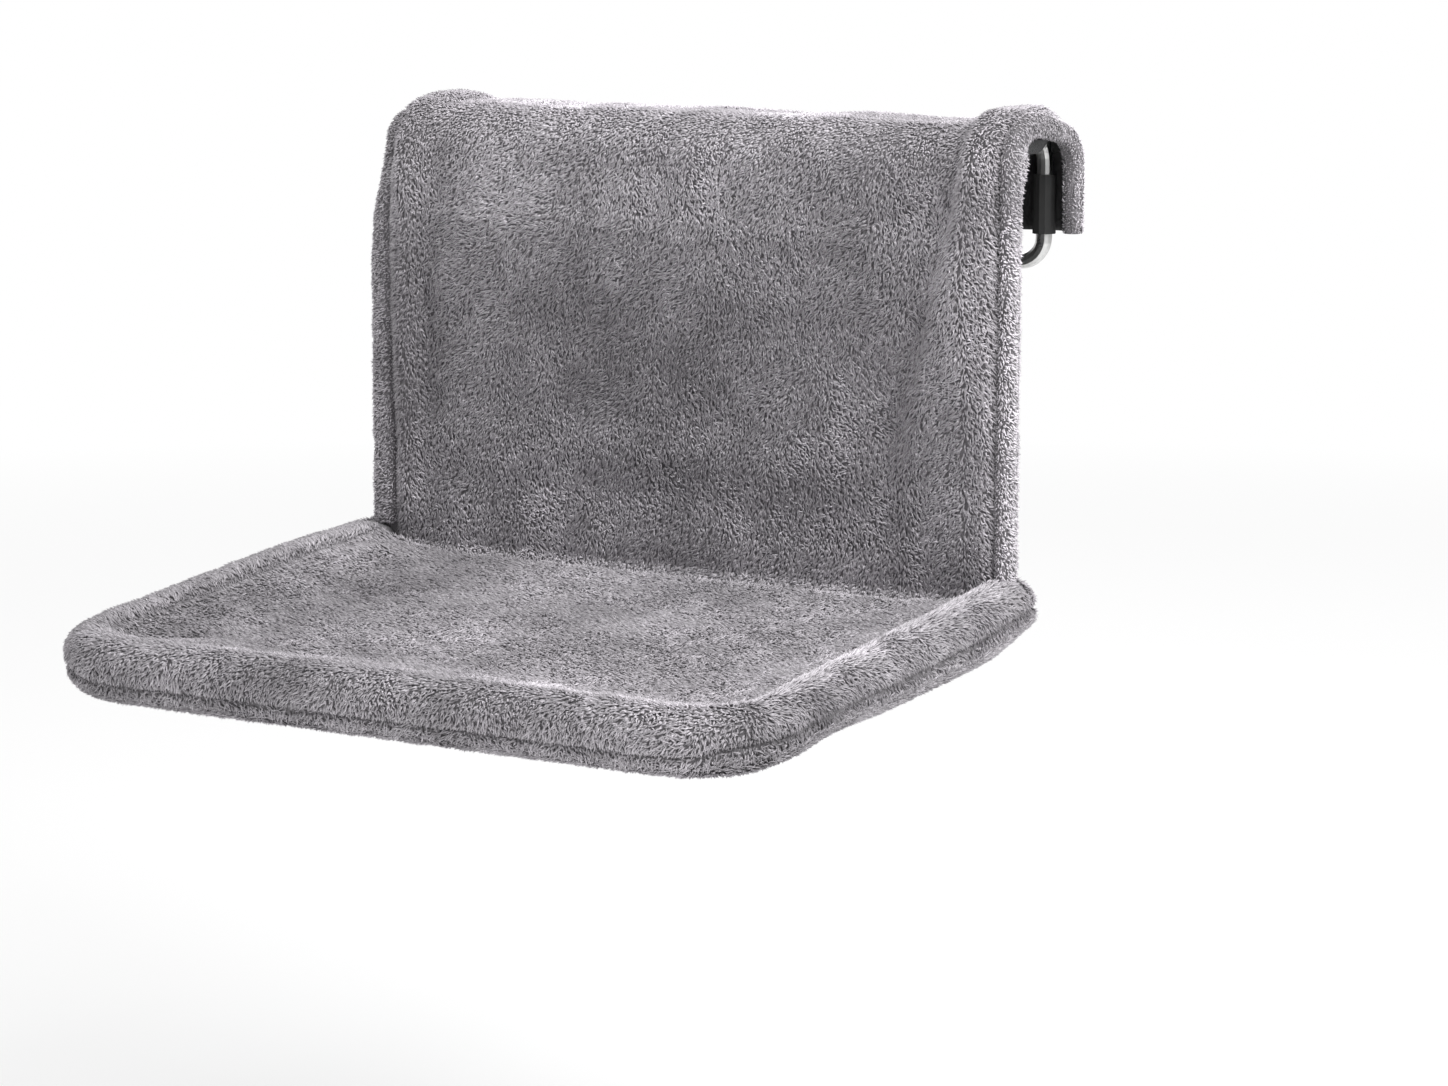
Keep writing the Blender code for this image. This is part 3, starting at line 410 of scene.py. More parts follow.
def thread_finish():
    """Sewing thread."""
    finish = Finish("sewing_thread", 0.7, Specular_IOR_Level=0.3)
    twist = finish.noise(2500, 2, 0.5, (1, 1, 0.3))
    finish.joined(finish.ramp(twist, (0.3, grey(0.12)), (0.7, grey(0.26))))
    return finish.bump(twist, 0.0001)


PLUSH_PILE = pile_finish()
PLUSH_GROUND = ground_finish()
LINING = weave_finish("lining_weave", 0.085, 900)
TAPE = weave_finish("tape_weave", 0.05, 1500)
POWDER_COAT = coated_finish()
ZINC = plated_finish("zinc_rod", 0.58, 0.3, (1, 1, 0.06))
SCREW_STEEL = plated_finish("screw_steel", 0.6, 0.28, (1, 1, 1))
ZIP_METAL = plated_finish("zip_metal", 0.3, 0.32, (0.1, 1, 1))
NYLON = moulded_finish("moulded_nylon", 0.028, 0.5, 1400)
RUBBER = moulded_finish("soft_rubber", 0.02, 0.8, 2200)
THREAD = thread_finish()


# The cover's line and height


def hang_line(run):
    """The line of the tubes from the seat up, over and down behind: its Y, Z and turn."""
    run = np.asarray(run, float)
    up = np.minimum(run, RISE)
    first = np.clip((run - RISE) / BEND, 0, math.pi / 2)
    flat = np.clip(run - RISE - QUARTER, 0, FLAT)
    second = np.clip((run - RISE - QUARTER - FLAT) / BEND, 0, math.pi / 2)
    down = np.maximum(run - RISE - 2 * QUARTER - FLAT, 0)
    turn = first + second
    y = FRONT_BEND_Y + flat - BEND * np.cos(turn)
    z = BEND_Z + up - RISE - down + BEND * np.sin(turn)
    return y, z, turn


def over_line(x, run, height):
    """A place at a height over the line of the tubes."""
    y, z, turn = hang_line(run)
    return stack(x, y - height * np.cos(turn), z + height * np.sin(turn))


def cover_height(x, run):
    """The height of the cover's ground over the line of the tubes: ridges, sag, folds."""
    reach = np.abs(x)
    near_top = climb(run, -110, 12, RISE)
    upward = ease(run, 60 * MM, RISE + 12 * MM)
    edge = np.where(x > 0, 156 * MM + 30 * MM * upward, 188 * MM - 4 * MM * near_top)
    edge = edge + 2 * MM * grain(x, run, 1000, 60, 3)
    flank = np.where(x > 0, 22 * MM - 12 * MM * upward, 14 * MM + 6 * MM * near_top)
    ridge = ease(reach, edge - flank, edge)
    ridge = np.where(x > 0, ridge, ridge**0.8)
    on_top = ease(run, RISE - 20 * MM, RISE + QUARTER * 0.5)
    past_top = ease(run, RISE + QUARTER + FLAT, RISE + 2 * QUARTER + FLAT)
    sag = 4.6 * MM + 2.4 * MM * climb(run, 190, 208) - 3.4 * MM * past_top
    between_bars = climb(run, 58, 90) * (1 - climb(run, 135, 165))
    sag += 2.6 * MM * between_bars
    valley = bell(reach - edge + flank, 9) * np.where(x > 0, 0.4, 1.0)
    sag += 1.5 * MM * valley * between_bars
    sag *= climb(run, 4, 45)
    proud = 1.0 * MM * climb(run, 30, 120) * (1 - past_top)
    proud += 2.2 * MM * climb(run, 60, 150) * (1 - climb(run, -12, 12, RISE))
    over_collar = climb(run, -4, 14, RISE + QUARTER)
    lowered = climb(run, -22, 10, RISE) * (5.0 * MM - 1.8 * MM * over_collar)
    proud -= np.where(x < 0, lowered, 0)
    sewn = 5.5 * MM * (1 - climb(run, -6, 4))
    seam = seam_reach(x, run)
    fall = 4.6 * MM * climb(reach, -6, 0.5, seam)
    height = RIDGE - PILE + sewn + proud * ridge - sag * (1 - ridge) - fall
    calm = climb(run, 0, 30) * (1 - climb(reach, -15, 0, seam))
    height += 0.9 * MM * calm * grain(x, run, 46, 150, 5)
    height += 0.5 * MM * calm * grain(x, run, 19, 48, 6)
    height += 0.6 * MM * on_top * calm * grain(x, run, 60, 16, 7)
    spread = np.where(x < 0, 9 * MM - 6.5 * MM * over_collar, 9 * MM)
    height = height - slack(x, run) * ease(reach, seam - spread, seam + 1 * MM)
    clear = 7.4 * MM + 1.6 * MM * over_collar
    beside = np.abs(reach - HANGER_REACH)
    over_tube = np.sqrt(np.maximum(clear**2 - beside**2, 0))
    held_up = (x < 0) & (beside < clear) & (slack(x, run) > 0)
    return np.where(held_up, np.maximum(height, over_tube), height)


def seam_reach(x, run):
    """How far out the seam between the cover and its binding lies."""
    return np.where(x > 0, COVER_HALF_WIDTH, LEFT_SEAM + 3.4 * MM * slack(x, run) / LEFT_SLACK)


def slack(x, run):
    """How far the left edge droops round the radiator's front corner, and the right edge round its back."""
    left = LEFT_SLACK * climb(run, -50, 8, RISE)
    left *= 1 - ease(run, RISE + QUARTER - 6 * MM, RISE + 2 * QUARTER + FLAT)
    right = 6.5 * MM * ease(run, RISE + QUARTER + 4 * MM, RISE + QUARTER + FLAT + 10 * MM)
    return np.where(x < 0, left, right)


def clumps(points, seed):
    """How the pile's clumps swell the ground, from -1 to 1."""
    return 0.6 * wander(points, 6.5 * MM, seed) + 0.4 * wander(points, 3.6 * MM, seed + 1)


# The pile


def small_ball(around, along):
    """A coarse ball, one long and pointed at both ends: its points across, up and along, and its faces."""
    bm = bmesh.new()
    bmesh.ops.create_uvsphere(bm, u_segments=around, v_segments=along, radius=0.5)
    bmesh.ops.triangulate(bm, faces=bm.faces)
    bmesh.ops.recalc_face_normals(bm, faces=bm.faces)
    bm.verts.index_update()
    points = np.array([vertex.co[:] for vertex in bm.verts])
    faces = np.array([[vertex.index for vertex in face.verts] for face in bm.faces])
    bm.free()
    return points, faces


LOCK_POINTS, LOCK_FACES = small_ball(3, 2)
STITCH_POINTS, STITCH_FACES = small_ball(5, 4)


def strewn(name, bodies, faces, finish):
    """Many small bodies as one piece: their points, and the faces of one."""
    steps = (np.arange(len(bodies)) * bodies.shape[1])[:, None, None]
    mesh = bpy.data.meshes.new(name)
    mesh.from_pydata(bodies.reshape(-1, 3), [], (faces[None] + steps).reshape(-1, 3))
    mesh.shade_smooth()
    mesh.materials.append(finish)
    item = shown(name, mesh)
    return item


def stitched(name, lines):
    """Rows of stitches. Each line gives places on a cloth and the outward ways there."""
    pitch, length, width = 4.2 * MM, 3.1 * MM, 0.8 * MM
    bodies = []
    for spots, outward in lines:
        steps = np.linalg.norm(np.diff(spots, axis=0), axis=1)
        run = np.concatenate([[0], np.cumsum(steps)])
        marks = np.arange(pitch / 2, run[-1], pitch)

        def found(values, shift=0.0):
            return np.stack([np.interp(marks + shift, run, values[:, axis]) for axis in range(3)], axis=1)

        along = unit(found(spots, 1 * MM) - found(spots, -1 * MM))
        out = unit(found(outward))
        sizes = (np.cross(out, along), width, 0), (out, width, 1), (along, length, 2)
        shape = sum(way[:, None] * (size * STITCH_POINTS[None, :, axis, None]) for way, size, axis in sizes)
        bodies.append(found(spots)[:, None] + shape)
    item = strewn(name, np.concatenate(bodies), STITCH_FACES, THREAD)
    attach(item, "frame")
    return item


def scattered(skin, seed, keep):
    """Even spots over a piece, with their outward ways and the numbers that its points keep."""
    mesh = skin.data
    mesh.calc_loop_triangles()
    corners = np.empty(len(mesh.loop_triangles) * 3, np.int32)
    mesh.loop_triangles.foreach_get("vertices", corners)
    corners = corners.reshape(-1, 3)
    spots = places(skin)
    numbers = {}
    for attribute in mesh.attributes:
        if attribute.domain == "POINT" and attribute.data_type == "FLOAT":
            values = np.empty(len(mesh.vertices), np.float32)
            attribute.data.foreach_get("value", values)
            numbers[attribute.name] = values
    means = {name: values[corners].mean(axis=1) for name, values in numbers.items()}
    corners = corners[keep(spots[corners].mean(axis=1), means)]
    first, second, third = (spots[corners[:, index]] for index in range(3))
    areas = np.linalg.norm(np.cross(second - first, third - first), axis=1) / 2
    rng = np.random.default_rng(seed)
    count = int(areas.sum() / LOCK_SPACING**2)
    marks = (np.arange(count) + rng.random(count)) / count * areas.sum()
    chosen = np.minimum(np.searchsorted(np.cumsum(areas), marks), len(areas) - 1)
    root = np.sqrt(rng.random(count))
    split = rng.random(count)
    weights = np.stack([1 - root, root * (1 - split), root * split], axis=1)
    found = corners[chosen]
    spread = lambda values: np.einsum("nk,nk...->n...", weights, values[found])
    kept = {name: spread(values) for name, values in numbers.items()}
    return spread(spots), unit(spread(places(skin, "normal"))), kept, rng


def dyed(spots, rng):
    """The depth of dye of each lock: broad brushed patches, small ones and its own."""
    level = 1 + 0.2 * wander(spots, 62 * MM, 131) + 0.16 * wander(spots, 23 * MM, 132)
    level *= 1 + 0.09 * wander(spots, 7 * MM, 133)
    return level * rng.uniform(0.68, 1.3, len(spots))


def mapped(mesh, rise, dye):
    """Lays the locks out on a map of small cells. Locks of one level of dyeing and painted light share a
    cell.
    """
    columns, rows = 48, 32
    group = np.empty(len(dye), int)
    group[np.argsort(dye, kind="stable")] = np.arange(len(dye)) * (columns * rows) // len(dye)
    turned = np.arctan2(LOCK_POINTS[:, 1], LOCK_POINTS[:, 0])
    ring = np.abs(LOCK_POINTS[:, 2]) < 0.25
    across = np.where(ring, 0.5 + 0.42 * np.sin(turned) / np.sin(math.radians(120)), 0.5)
    corner = np.stack([across, 0.04 + 0.92 * rise], axis=1)[LOCK_FACES.ravel()]
    cell = np.stack([group % columns, group // columns], axis=1)[:, None]
    spots = (cell + corner[None]) / (columns, rows)
    layer = mesh.uv_layers.new(name="OFBake")
    layer.data.foreach_set("uv", spots.astype(np.float32).ravel())


def pile(name, skin, seed, keep, comb, pale, length=4.4 * MM, width=1.15 * MM, lift=2.2 * MM):
    """A pile of bent locks on a piece. comb gives each lock its way and its share of the length."""
    spots, outward, kept, rng = scattered(skin, seed, keep)
    way, size = comb(spots, outward, kept)
    # pale gives each lock its level of painted light and shade.
    painted_light_level = pale(spots, kept) * np.ones(len(spots))
    stay = size > 0.05
    spots, outward, way, size, painted_light_level = spots[stay], outward[stay], way[stay], size[stay], painted_light_level[stay]
    count = len(spots)
    way = laid(way, outward)
    side = np.cross(outward, way)
    yaw = rng.normal(0, 0.42, count)
    way, side = swung(way, side, yaw), swung(side, way, -yaw)
    long = length * size * rng.uniform(0.72, 1.25, count)
    wide = width * (0.55 + 0.45 * size) * rng.uniform(0.75, 1.25, count)
    high = lift * (0.45 + 0.55 * size) * rng.uniform(0.75, 1.25, count)
    curl = rng.normal(0, 0.28, count)
    long, wide, high, curl = (values[:, None, None] for values in (long, wide, high, curl))

    rise = (LOCK_POINTS[:, 2] + 0.5) ** 1.3
    ahead, above = rise * (0.72 + 0.28 * rise), -0.3 + 1.75 * rise - 0.5 * rise**2
    shapes = ahead, above, LOCK_POINTS[:, 1] * 1.2, LOCK_POINTS[:, 0], rise**2
    ahead, above, across, deep, bow = (values[None, :, None] for values in shapes)
    body = (
        spots[:, None]
        + way[:, None] * (long * ahead - wide * deep * 0.5)
        + outward[:, None] * (high * above + wide * deep * 0.8)
        + side[:, None] * (wide * across + long * curl * bow)
    )
    item = strewn(name, body, LOCK_FACES, PLUSH_PILE)
    # Random dye times painted light and shade.
    dye = painted_light_level * dyed(spots, rng)
    mapped(item.data, rise, dye)
    return mark(item, rise=np.tile(rise, count), dye=np.repeat(dye, len(rise)))


# The cover


def make_cover():
    """The plush cover, one sheet from the seat's seam over the radiator and down behind."""
    columns, rows = 168, 156
    start = -10 * MM
    reaches = {}

    def place_of(across, along):
        x = (across * 2 - 1) * COVER_HALF_WIDTH
        run = start + along * (COVER_RUN - start)
        reaches["across"], reaches["run"] = x, run
        inner = 1 - ease(np.abs(x), 196 * MM, COVER_HALF_WIDTH)
        height = cover_height(x, run) + 0.35 * MM * clumps(stack(x, run, 0), 11) * inner
        return over_line(x, run, height)

    item = laid_out("plush_cover", columns, rows, place_of, PLUSH_GROUND, LINING)
    return walled(mark(item, **reaches), 1.5 * MM, 1)


def cover_comb(spots, outward, kept):
    """The cover's pile: brushed down, swirled in patches, splayed beside the seams."""
    x, run = kept["across"], kept["run"]
    reach, side = np.abs(x), np.sign(x)
    yaw = grain(x, run, 55, 55, 21) + 0.75 * grain(x, run, 13, 13, 22)
    parting = 184 * MM + 4 * MM * grain(x, run, 1000, 60, 23)
    outer = climb(reach, 0, 4, parting)
    inner = climb(reach, -26, -14, parting) * (1 - outer)
    calm = np.maximum(outer, inner * 0.7)
    strong = np.where(x > 0, 1.0, 0.55)
    yaw = yaw * (1 - 0.65 * calm * strong) + side * (0.95 * outer - 0.6 * inner) * strong
    turn = hang_line(run)[2]
    down = stack(0, -np.sin(turn), -np.cos(turn))
    way = swung(down, np.array([1.0, 0, 0]), yaw)
    size = 0.92 + 0.16 * grain(x, run, 9, 9, 24)
    inward = seam_reach(x, run) - reach
    size *= (0.5 + 0.5 * climb(inward, 0.2, 2.2)) * (inward > -0.4 * MM)
    size *= climb(COVER_RUN - run, 0.5, 3)
    size *= climb(run, -6, -2)
    size *= 1 - 0.22 * climb(run, -30, 10, RISE)
    return way, size


def cover_painted_light(spots, kept):
    """Painted light on the cover's pile: paler where it bends over the radiator and on the right ridge,
    darker lower down, with painted shade in the seam's creases and the left valley.
    """
    x, run = kept["across"], kept["run"]
    bend = climb(run, -62, -8, RISE)
    right = climb(x, 150, 185)
    # Painted shade in the seam's creases, weaker where the left edge droops.
    crease_shade = 1 - climb(seam_reach(x, run) - np.abs(x), 1.0, 4.5)
    crease_shade = crease_shade * (1 - 0.6 * (x < 0) * slack(x, run) / LEFT_SLACK)
    # Painted shade in the valley beside the left ridge.
    valley = bell(np.abs(x) - 168 * MM, 9) * (x < 0)
    # Painted light over the bend and on the right ridge, less the painted shade.
    level = 0.9 + (0.27 - 0.09 * right) * bend + 0.2 * right * (1 - bend)
    return level - 0.3 * crease_shade - 0.08 * valley * (1 - bend)


def binding_painted_light(word):
    # The binding's painted light in front and over the radiator.
    front, top = BINDINGS[word][2:]

    def pale(spots, kept):
        """The painted light on a binding's pile: how much paler it is in front, and over the radiator."""
        return front + (top - front) * climb(kept["run"], -60, -4, RISE)

    return pale


def make_hem(word, side):
    """The bound edge along one side of the cover, a soft roll oval in section."""
    middle, half_width = BINDINGS[word][:2]
    half_depth = 6.3 * MM
    flattened = 0.26 if side < 0 else 0.16
    start = 11 * MM
    reaches = {}

    def place_of(across, along):
        angle = across * 2 * math.pi
        run = start + along * (COVER_RUN - start)
        flat_spots = stack(angle * 8 * MM, run, side)
        swell = 1 + 0.07 * wander(flat_spots, 14 * MM, 31) + 0.04 * wander(flat_spots, 5 * MM, 32)
        reaches["turned"], reaches["run"] = angle, run
        droop = slack(side, run)
        tuck = 2.3 * MM * climb(run, -80, 4, RISE) * (side < 0)
        tuck = tuck * (1 - ease(run, RISE + QUARTER + 10 * MM, RISE + 2 * QUARTER + FLAT))
        round_ways = np.cos(angle), np.sin(angle)
        sideways, upward = (np.sign(way) * np.abs(way) ** 0.8 * swell for way in round_ways)
        height = HEM_OFFSET - droop + (half_depth - flattened * droop) * upward
        return over_line(middle + tuck + side * (half_width - tuck) * sideways, run, height)

    item = laid_out("edge_binding_" + word, 22, 170, place_of, PLUSH_GROUND)
    mark(item, **reaches)

    def close(bm):
        bmesh.ops.remove_doubles(bm, verts=bm.verts, dist=0.02 * MM)
        bmesh.ops.holes_fill(bm, edges=[edge for edge in bm.edges if edge.is_boundary])
        bmesh.ops.recalc_face_normals(bm, faces=bm.faces)

    return reworked(item, close)


def hem_comb(side):
    def comb(spots, outward, kept):
        """The binding's pile: down and away from the seam."""
        run = kept["run"]
        flat_spots = stack(spots[:, 0] + spots[:, 1], run, spots[:, 2])
        turn = hang_line(run)[2]
        down = stack(0, -np.sin(turn), -np.cos(turn))
        over = stack(0, -np.cos(turn), np.sin(turn))
        away = np.cross(outward, down) * side
        yaw = 0.9 + 0.5 * wander(flat_spots, 10 * MM, 41)
        way = swung(down, away, yaw)
        facing_out = np.sum(outward * over, axis=1)
        facing_in = -side * outward[:, 0] + 0.25 * facing_out
        size = 0.8 * (1 - 0.55 * ease(facing_in, 0.5, 0.95))
        size *= 0.9 + 0.2 * wander(flat_spots, 7 * MM, 42)
        size *= 1 - 0.9 * ease(-facing_out, 0.75, 0.95)
        size *= 1 - 0.2 * climb(run, -30, 10, RISE)
        return way, size * climb(COVER_RUN - run, 0, 2)

    return comb


# The seat

BASE_Z = -15.2 * MM
ROLL_SKIN = 16.4 * MM
ROLL_Z = -1.5 * MM
END_SEAM_Y = -4 * MM
STITCH_SHIFT = 0.8 * MM
SEAT_PLACE = Matrix.Translation((0, -STAND_OFF, -SEAT_DROP)) @ Matrix.Rotation(SEAT_TILT, 4, "X")
SEAT_TURN = np.array(SEAT_PLACE.to_3x3())
SEAT_ORIGIN = np.array(SEAT_PLACE.translation)
SEAT_UP = SEAT_TURN @ np.array([0.0, 0, 1])


def on_seat(spots):
    """Places given in the seat's own plane, put on the bed."""
    return spots @ SEAT_TURN.T + SEAT_ORIGIN


def from_seat(spots):
    """Places on the bed, given in the seat's own plane."""
    return (spots - SEAT_ORIGIN) @ SEAT_TURN


def in_seat(spots):
    """Places on the bed in the seat's own plane: x, y, z and how far in from its outline they lie."""
    x, y, z = from_seat(spots).T
    return x, y, z, seat_inset(x, y)[0]


def in_front(y):
    """How far to the front a place on the seat lies, from 0 to 1."""
    return climb(-y, 190, 285)


def seat_inset(x, y):
    """The distance in from the seat's rounded outline and the way out of it."""
    across = np.abs(x) - (SEAT_HALF_WIDTH - SEAT_CORNER)
    along = -y - (SEAT_REACH - SEAT_CORNER)
    corner = np.hypot(np.maximum(across, 0), np.maximum(along, 0))
    inset = SEAT_CORNER - corner - np.minimum(np.maximum(across, along), 0)
    rounded = (across > 0) & (along > 0)
    sideways = np.where(rounded, across, np.where(across >= along, 1, 0))
    forward = np.where(rounded, along, np.where(across >= along, 0, 1))
    way = unit(stack(np.sign(x) * sideways, -forward, 0))
    return inset, way


def rounded(x, y):
    """The places of a square-cornered grid, drawn in to the seat's rounded corners."""
    centre_x, centre_y = SEAT_HALF_WIDTH - SEAT_CORNER, SEAT_REACH - SEAT_CORNER
    over_x, over_y = np.abs(x) - centre_x, -y - centre_y
    corner = (over_x > 0) & (over_y > 0)
    radius = np.maximum(over_x, over_y)
    share = np.divide(np.minimum(over_x, over_y), radius, out=np.zeros_like(x), where=corner)
    angle = np.where(over_x >= over_y, share, 2 - share) * math.pi / 4
    x = np.where(corner, np.sign(x) * (centre_x + radius * np.cos(angle)), x)
    return x, np.where(corner, -(centre_y + radius * np.sin(angle)), y)


def soft_top(first, second, blend):
    """The higher of two heights, rounded where they meet."""
    share = np.clip(0.5 + (first - second) / (2 * blend), 0, 1)
    return second + (first - second) * share + blend * share * (1 - share)


def seam_height(x, y):
    """The height of the seam round the rim. It is higher along the flanks, most at the right front."""
    flank = climb(np.abs(x), 185, 212)
    corner = bell(y + 235 * MM, 75) * (x > 0)
    return -4.8 * MM + flank * (2.8 * MM + 3.4 * MM * corner)


def seam_firmness(x):
    """How deep the rim's seam is drawn in: loose in front, firm along the right flank."""
    return 0.45 + 0.55 * climb(x, 190, 212)


def stitch_line(x):
    """How far in from the outline the seat's stitch line lies. It is nearer the edge on the left."""
    return STITCH_INSET - 5.0 * MM * climb(-x, 60, 150)


def roll_height(inset, limit):
    """The rim roll's height over its own middle at a distance in from the outline."""
    return np.sqrt(np.maximum(ROLL_SKIN**2 - (np.minimum(inset, limit) - ROLL) ** 2, 0))


def seat_top(x, y, inset):
    """The height of the seat's upper ground: rim roll, stitched groove and sagging panel."""
    frontal, left = in_front(y), climb(-x, 60, 150)
    rear_share = 1 - climb(-y, 10, 90)
    crest = 1 + 0.07 * (1 - left) * climb(-y, 60, 240) - (0.1 + 0.12 * left) * rear_share
    roll = ROLL_Z + crest * roll_height(inset, 2 * ROLL)
    inward = np.maximum(inset - stitch_line(x), 0)
    panel = 4.6 * MM - 11 * MM * (1 - np.exp(-inward / (48 * MM)))
    panel += 3.8 * MM * left * np.exp(-inward / (36 * MM))
    panel += 1.1 * MM * grain(x, y, 60, 38, 51) * climb(inset, 34, 70)
    panel += 0.6 * MM * grain(x, y, 34, 13, 52) * climb(inset, 30, 50)
    return soft_top(roll, panel, 1.2 * MM + 6.5 * MM * frontal)


def seat_bottom(x, y, inset):
    """The height of the seat's lower ground."""
    corner = bell(np.hypot(x - 222 * MM, y + 226 * MM), 58)
    flank = climb(x, 150, 215) * bell(y + 52 * MM, 38)
    lift = 3.6 * MM * climb(inset, 17, 32) + 5.4 * MM * corner - 2.4 * MM * flank
    return ROLL_Z - 1.04 * roll_height(inset, ROLL) + lift


def seat_form():
    """The padded seat as one closed form: an upper and a lower face sewn at the rim's middle."""
    fine = np.arange(0, 40, 2.0) * MM
    core_x = SEAT_HALF_WIDTH - 40 * MM
    rim = ROLL - ROLL_SKIN
    inward = fine * (1 - rim / (40 * MM))
    half = np.concatenate([SEAT_HALF_WIDTH - rim - inward, np.linspace(core_x, 0, 24)])
    x_lines = np.concatenate([-half, half[::-1][1:]])
    core_y = -(SEAT_REACH - 40 * MM)
    y_lines = np.concatenate([np.linspace(SEAT_REAR, core_y, 34), -(SEAT_REACH - rim - inward[::-1])])
    columns, rows = len(x_lines) - 1, len(y_lines) - 1

    def face(height_of):
        def place_of(across, along):
            x = x_lines[np.rint(across * columns).astype(int)]
            y = y_lines[rows - np.rint(along * rows).astype(int)]
            x, y = rounded(x, y)
            inset, _ = seat_inset(x, y)
            edge = inset < rim + 0.05 * MM
            return stack(x, y, np.where(edge, ROLL_Z, height_of(x, y, inset)))

        return place_of

    upper = laid_out("seat_upper", columns, rows, face(seat_top))
    lower = laid_out("seat_lower", columns, rows, face(seat_bottom))
    bm = bmesh.new()
    bm.from_mesh(lower.data)
    bmesh.ops.reverse_faces(bm, faces=bm.faces)
    bm.from_mesh(upper.data)
    bmesh.ops.remove_doubles(bm, verts=bm.verts, dist=0.02 * MM)
    bmesh.ops.holes_fill(bm, edges=[edge for edge in bm.edges if edge.is_boundary])
    bmesh.ops.triangulate(bm, faces=[face for face in bm.faces if len(face.verts) > 4])
    for side in SIDES.values():
        end = bmesh.ops.create_uvsphere(bm, u_segments=32, v_segments=24, radius=ROLL_SKIN)["verts"]
        for vertex in end:
            reach = 8 * MM if vertex.co.y > 0 else -40 * MM
            squeeze = 0.62 if vertex.co.y > 0 else 1.0
            if vertex.co.z > 0:
                vertex.co.z *= 0.78 if side < 0 else 0.9
            vertex.co = (
                vertex.co.x + side * TUBE_X,
                vertex.co.y * squeeze + (reach if vertex.co.y < 0 else reach - ROLL_SKIN * squeeze),
                vertex.co.z + ROLL_Z,
            )
    for item in (upper, lower):
        bpy.data.objects.remove(item)
    bmesh.ops.recalc_face_normals(bm, faces=bm.faces)
    return piece("padded_seat", bm, PLUSH_GROUND)


def puffed(item):
    """Lets air pressure swell a remeshed pad while its seams hold, then keeps a capped share of it."""
    remesh = item.modifiers.new("remesh", "REMESH")
    remesh.mode = "VOXEL"
    remesh.voxel_size = 4.6 * MM
    settled(item)
    start = places(item)
    x, y, z, inset = in_seat(start)
    seam = bell(inset - stitch_line(x), 4) * (z > 0)
    middle = bell(z - seam_height(x, y), 3.5) * (inset < 8 * MM)
    panel = 0.35 * climb(inset, 60, 110)
    hold = np.clip(np.maximum(np.maximum(seam, middle), panel), 0, 1)
    hold = np.where(y > SEAT_REAR - 8 * MM, 1.0, hold)
    hold = np.where(z > 0, hold, np.maximum(hold, 0.6))
    group = item.vertex_groups.new(name="held")
    for index, weight in enumerate(hold):
        group.add([index], float(weight), "REPLACE")
    cloth = item.modifiers.new("cloth", "CLOTH")
    settings = cloth.settings
    settings.quality = 5
    settings.mass = 0.25
    settings.tension_stiffness = settings.compression_stiffness = 12
    settings.shear_stiffness = 4
    settings.bending_stiffness = 0.4
    settings.vertex_group_mass = "held"
    settings.pin_stiffness = 1.0
    settings.use_pressure = True
    settings.uniform_pressure_force = 4
    settings.effector_weights.gravity = 0
    cloth.collision_settings.use_collision = False
    cloth.point_cache.frame_start, cloth.point_cache.frame_end = 1, 20
    scene = bpy.context.scene
    for number in range(1, 21):
        scene.frame_set(number)
    settled(item)
    scene.frame_set(1)
    moved = places(item) - start
    size = np.linalg.norm(moved, axis=1, keepdims=True)
    cap = 3.5 * MM
    put(item, start + moved * (cap * np.tanh(size / cap) / np.maximum(size, 1e-9)))
    return item


def make_seat():
    """The padded seat: form, swelling, then its sewn grooves."""
    item = seat_form()
    put(item, on_seat(places(item)))
    puffed(item)
    finer = item.modifiers.new("finer", "SUBSURF")
    finer.levels = finer.render_levels = 1
    settled(item)
    item.name = "padded_seat"
    item.data.materials.clear()
    item.data.materials.append(PLUSH_GROUND)
    spots, outward = places(item), places(item, "normal")
    x, y, z, inset = in_seat(spots)
    groove = bell(inset - stitch_line(x) + STITCH_SHIFT, 1.6) * (z > 0) * (1 - 0.85 * in_front(y))
    groove *= climb(-y, 15, 30)
    above = z - seam_height(x, y)
    seam = bell(above, 1.8) * (inset < 9 * MM)
    ring = bell(y - END_SEAM_Y, 1.6) * (above > 0) * (inset < 2 * ROLL)
    seams = np.maximum(seam * seam_firmness(x), ring)
    spots += outward * (0.4 * MM * clumps(spots, 61) - 2.0 * MM * groove - 2.6 * MM * seams)[:, None]
    local = from_seat(spots)
    local[:, 0] -= 4.5 * MM * climb(local[:, 1], -80, -8) * climb(local[:, 0], 180, 205)
    inset, _ = seat_inset(local[:, 0], local[:, 1])
    floor = BASE_Z - 30 * MM * (1 - climb(inset, 24, 36))
    local[:, 2] = np.maximum(local[:, 2], floor)
    put(item, on_seat(local))
    return item


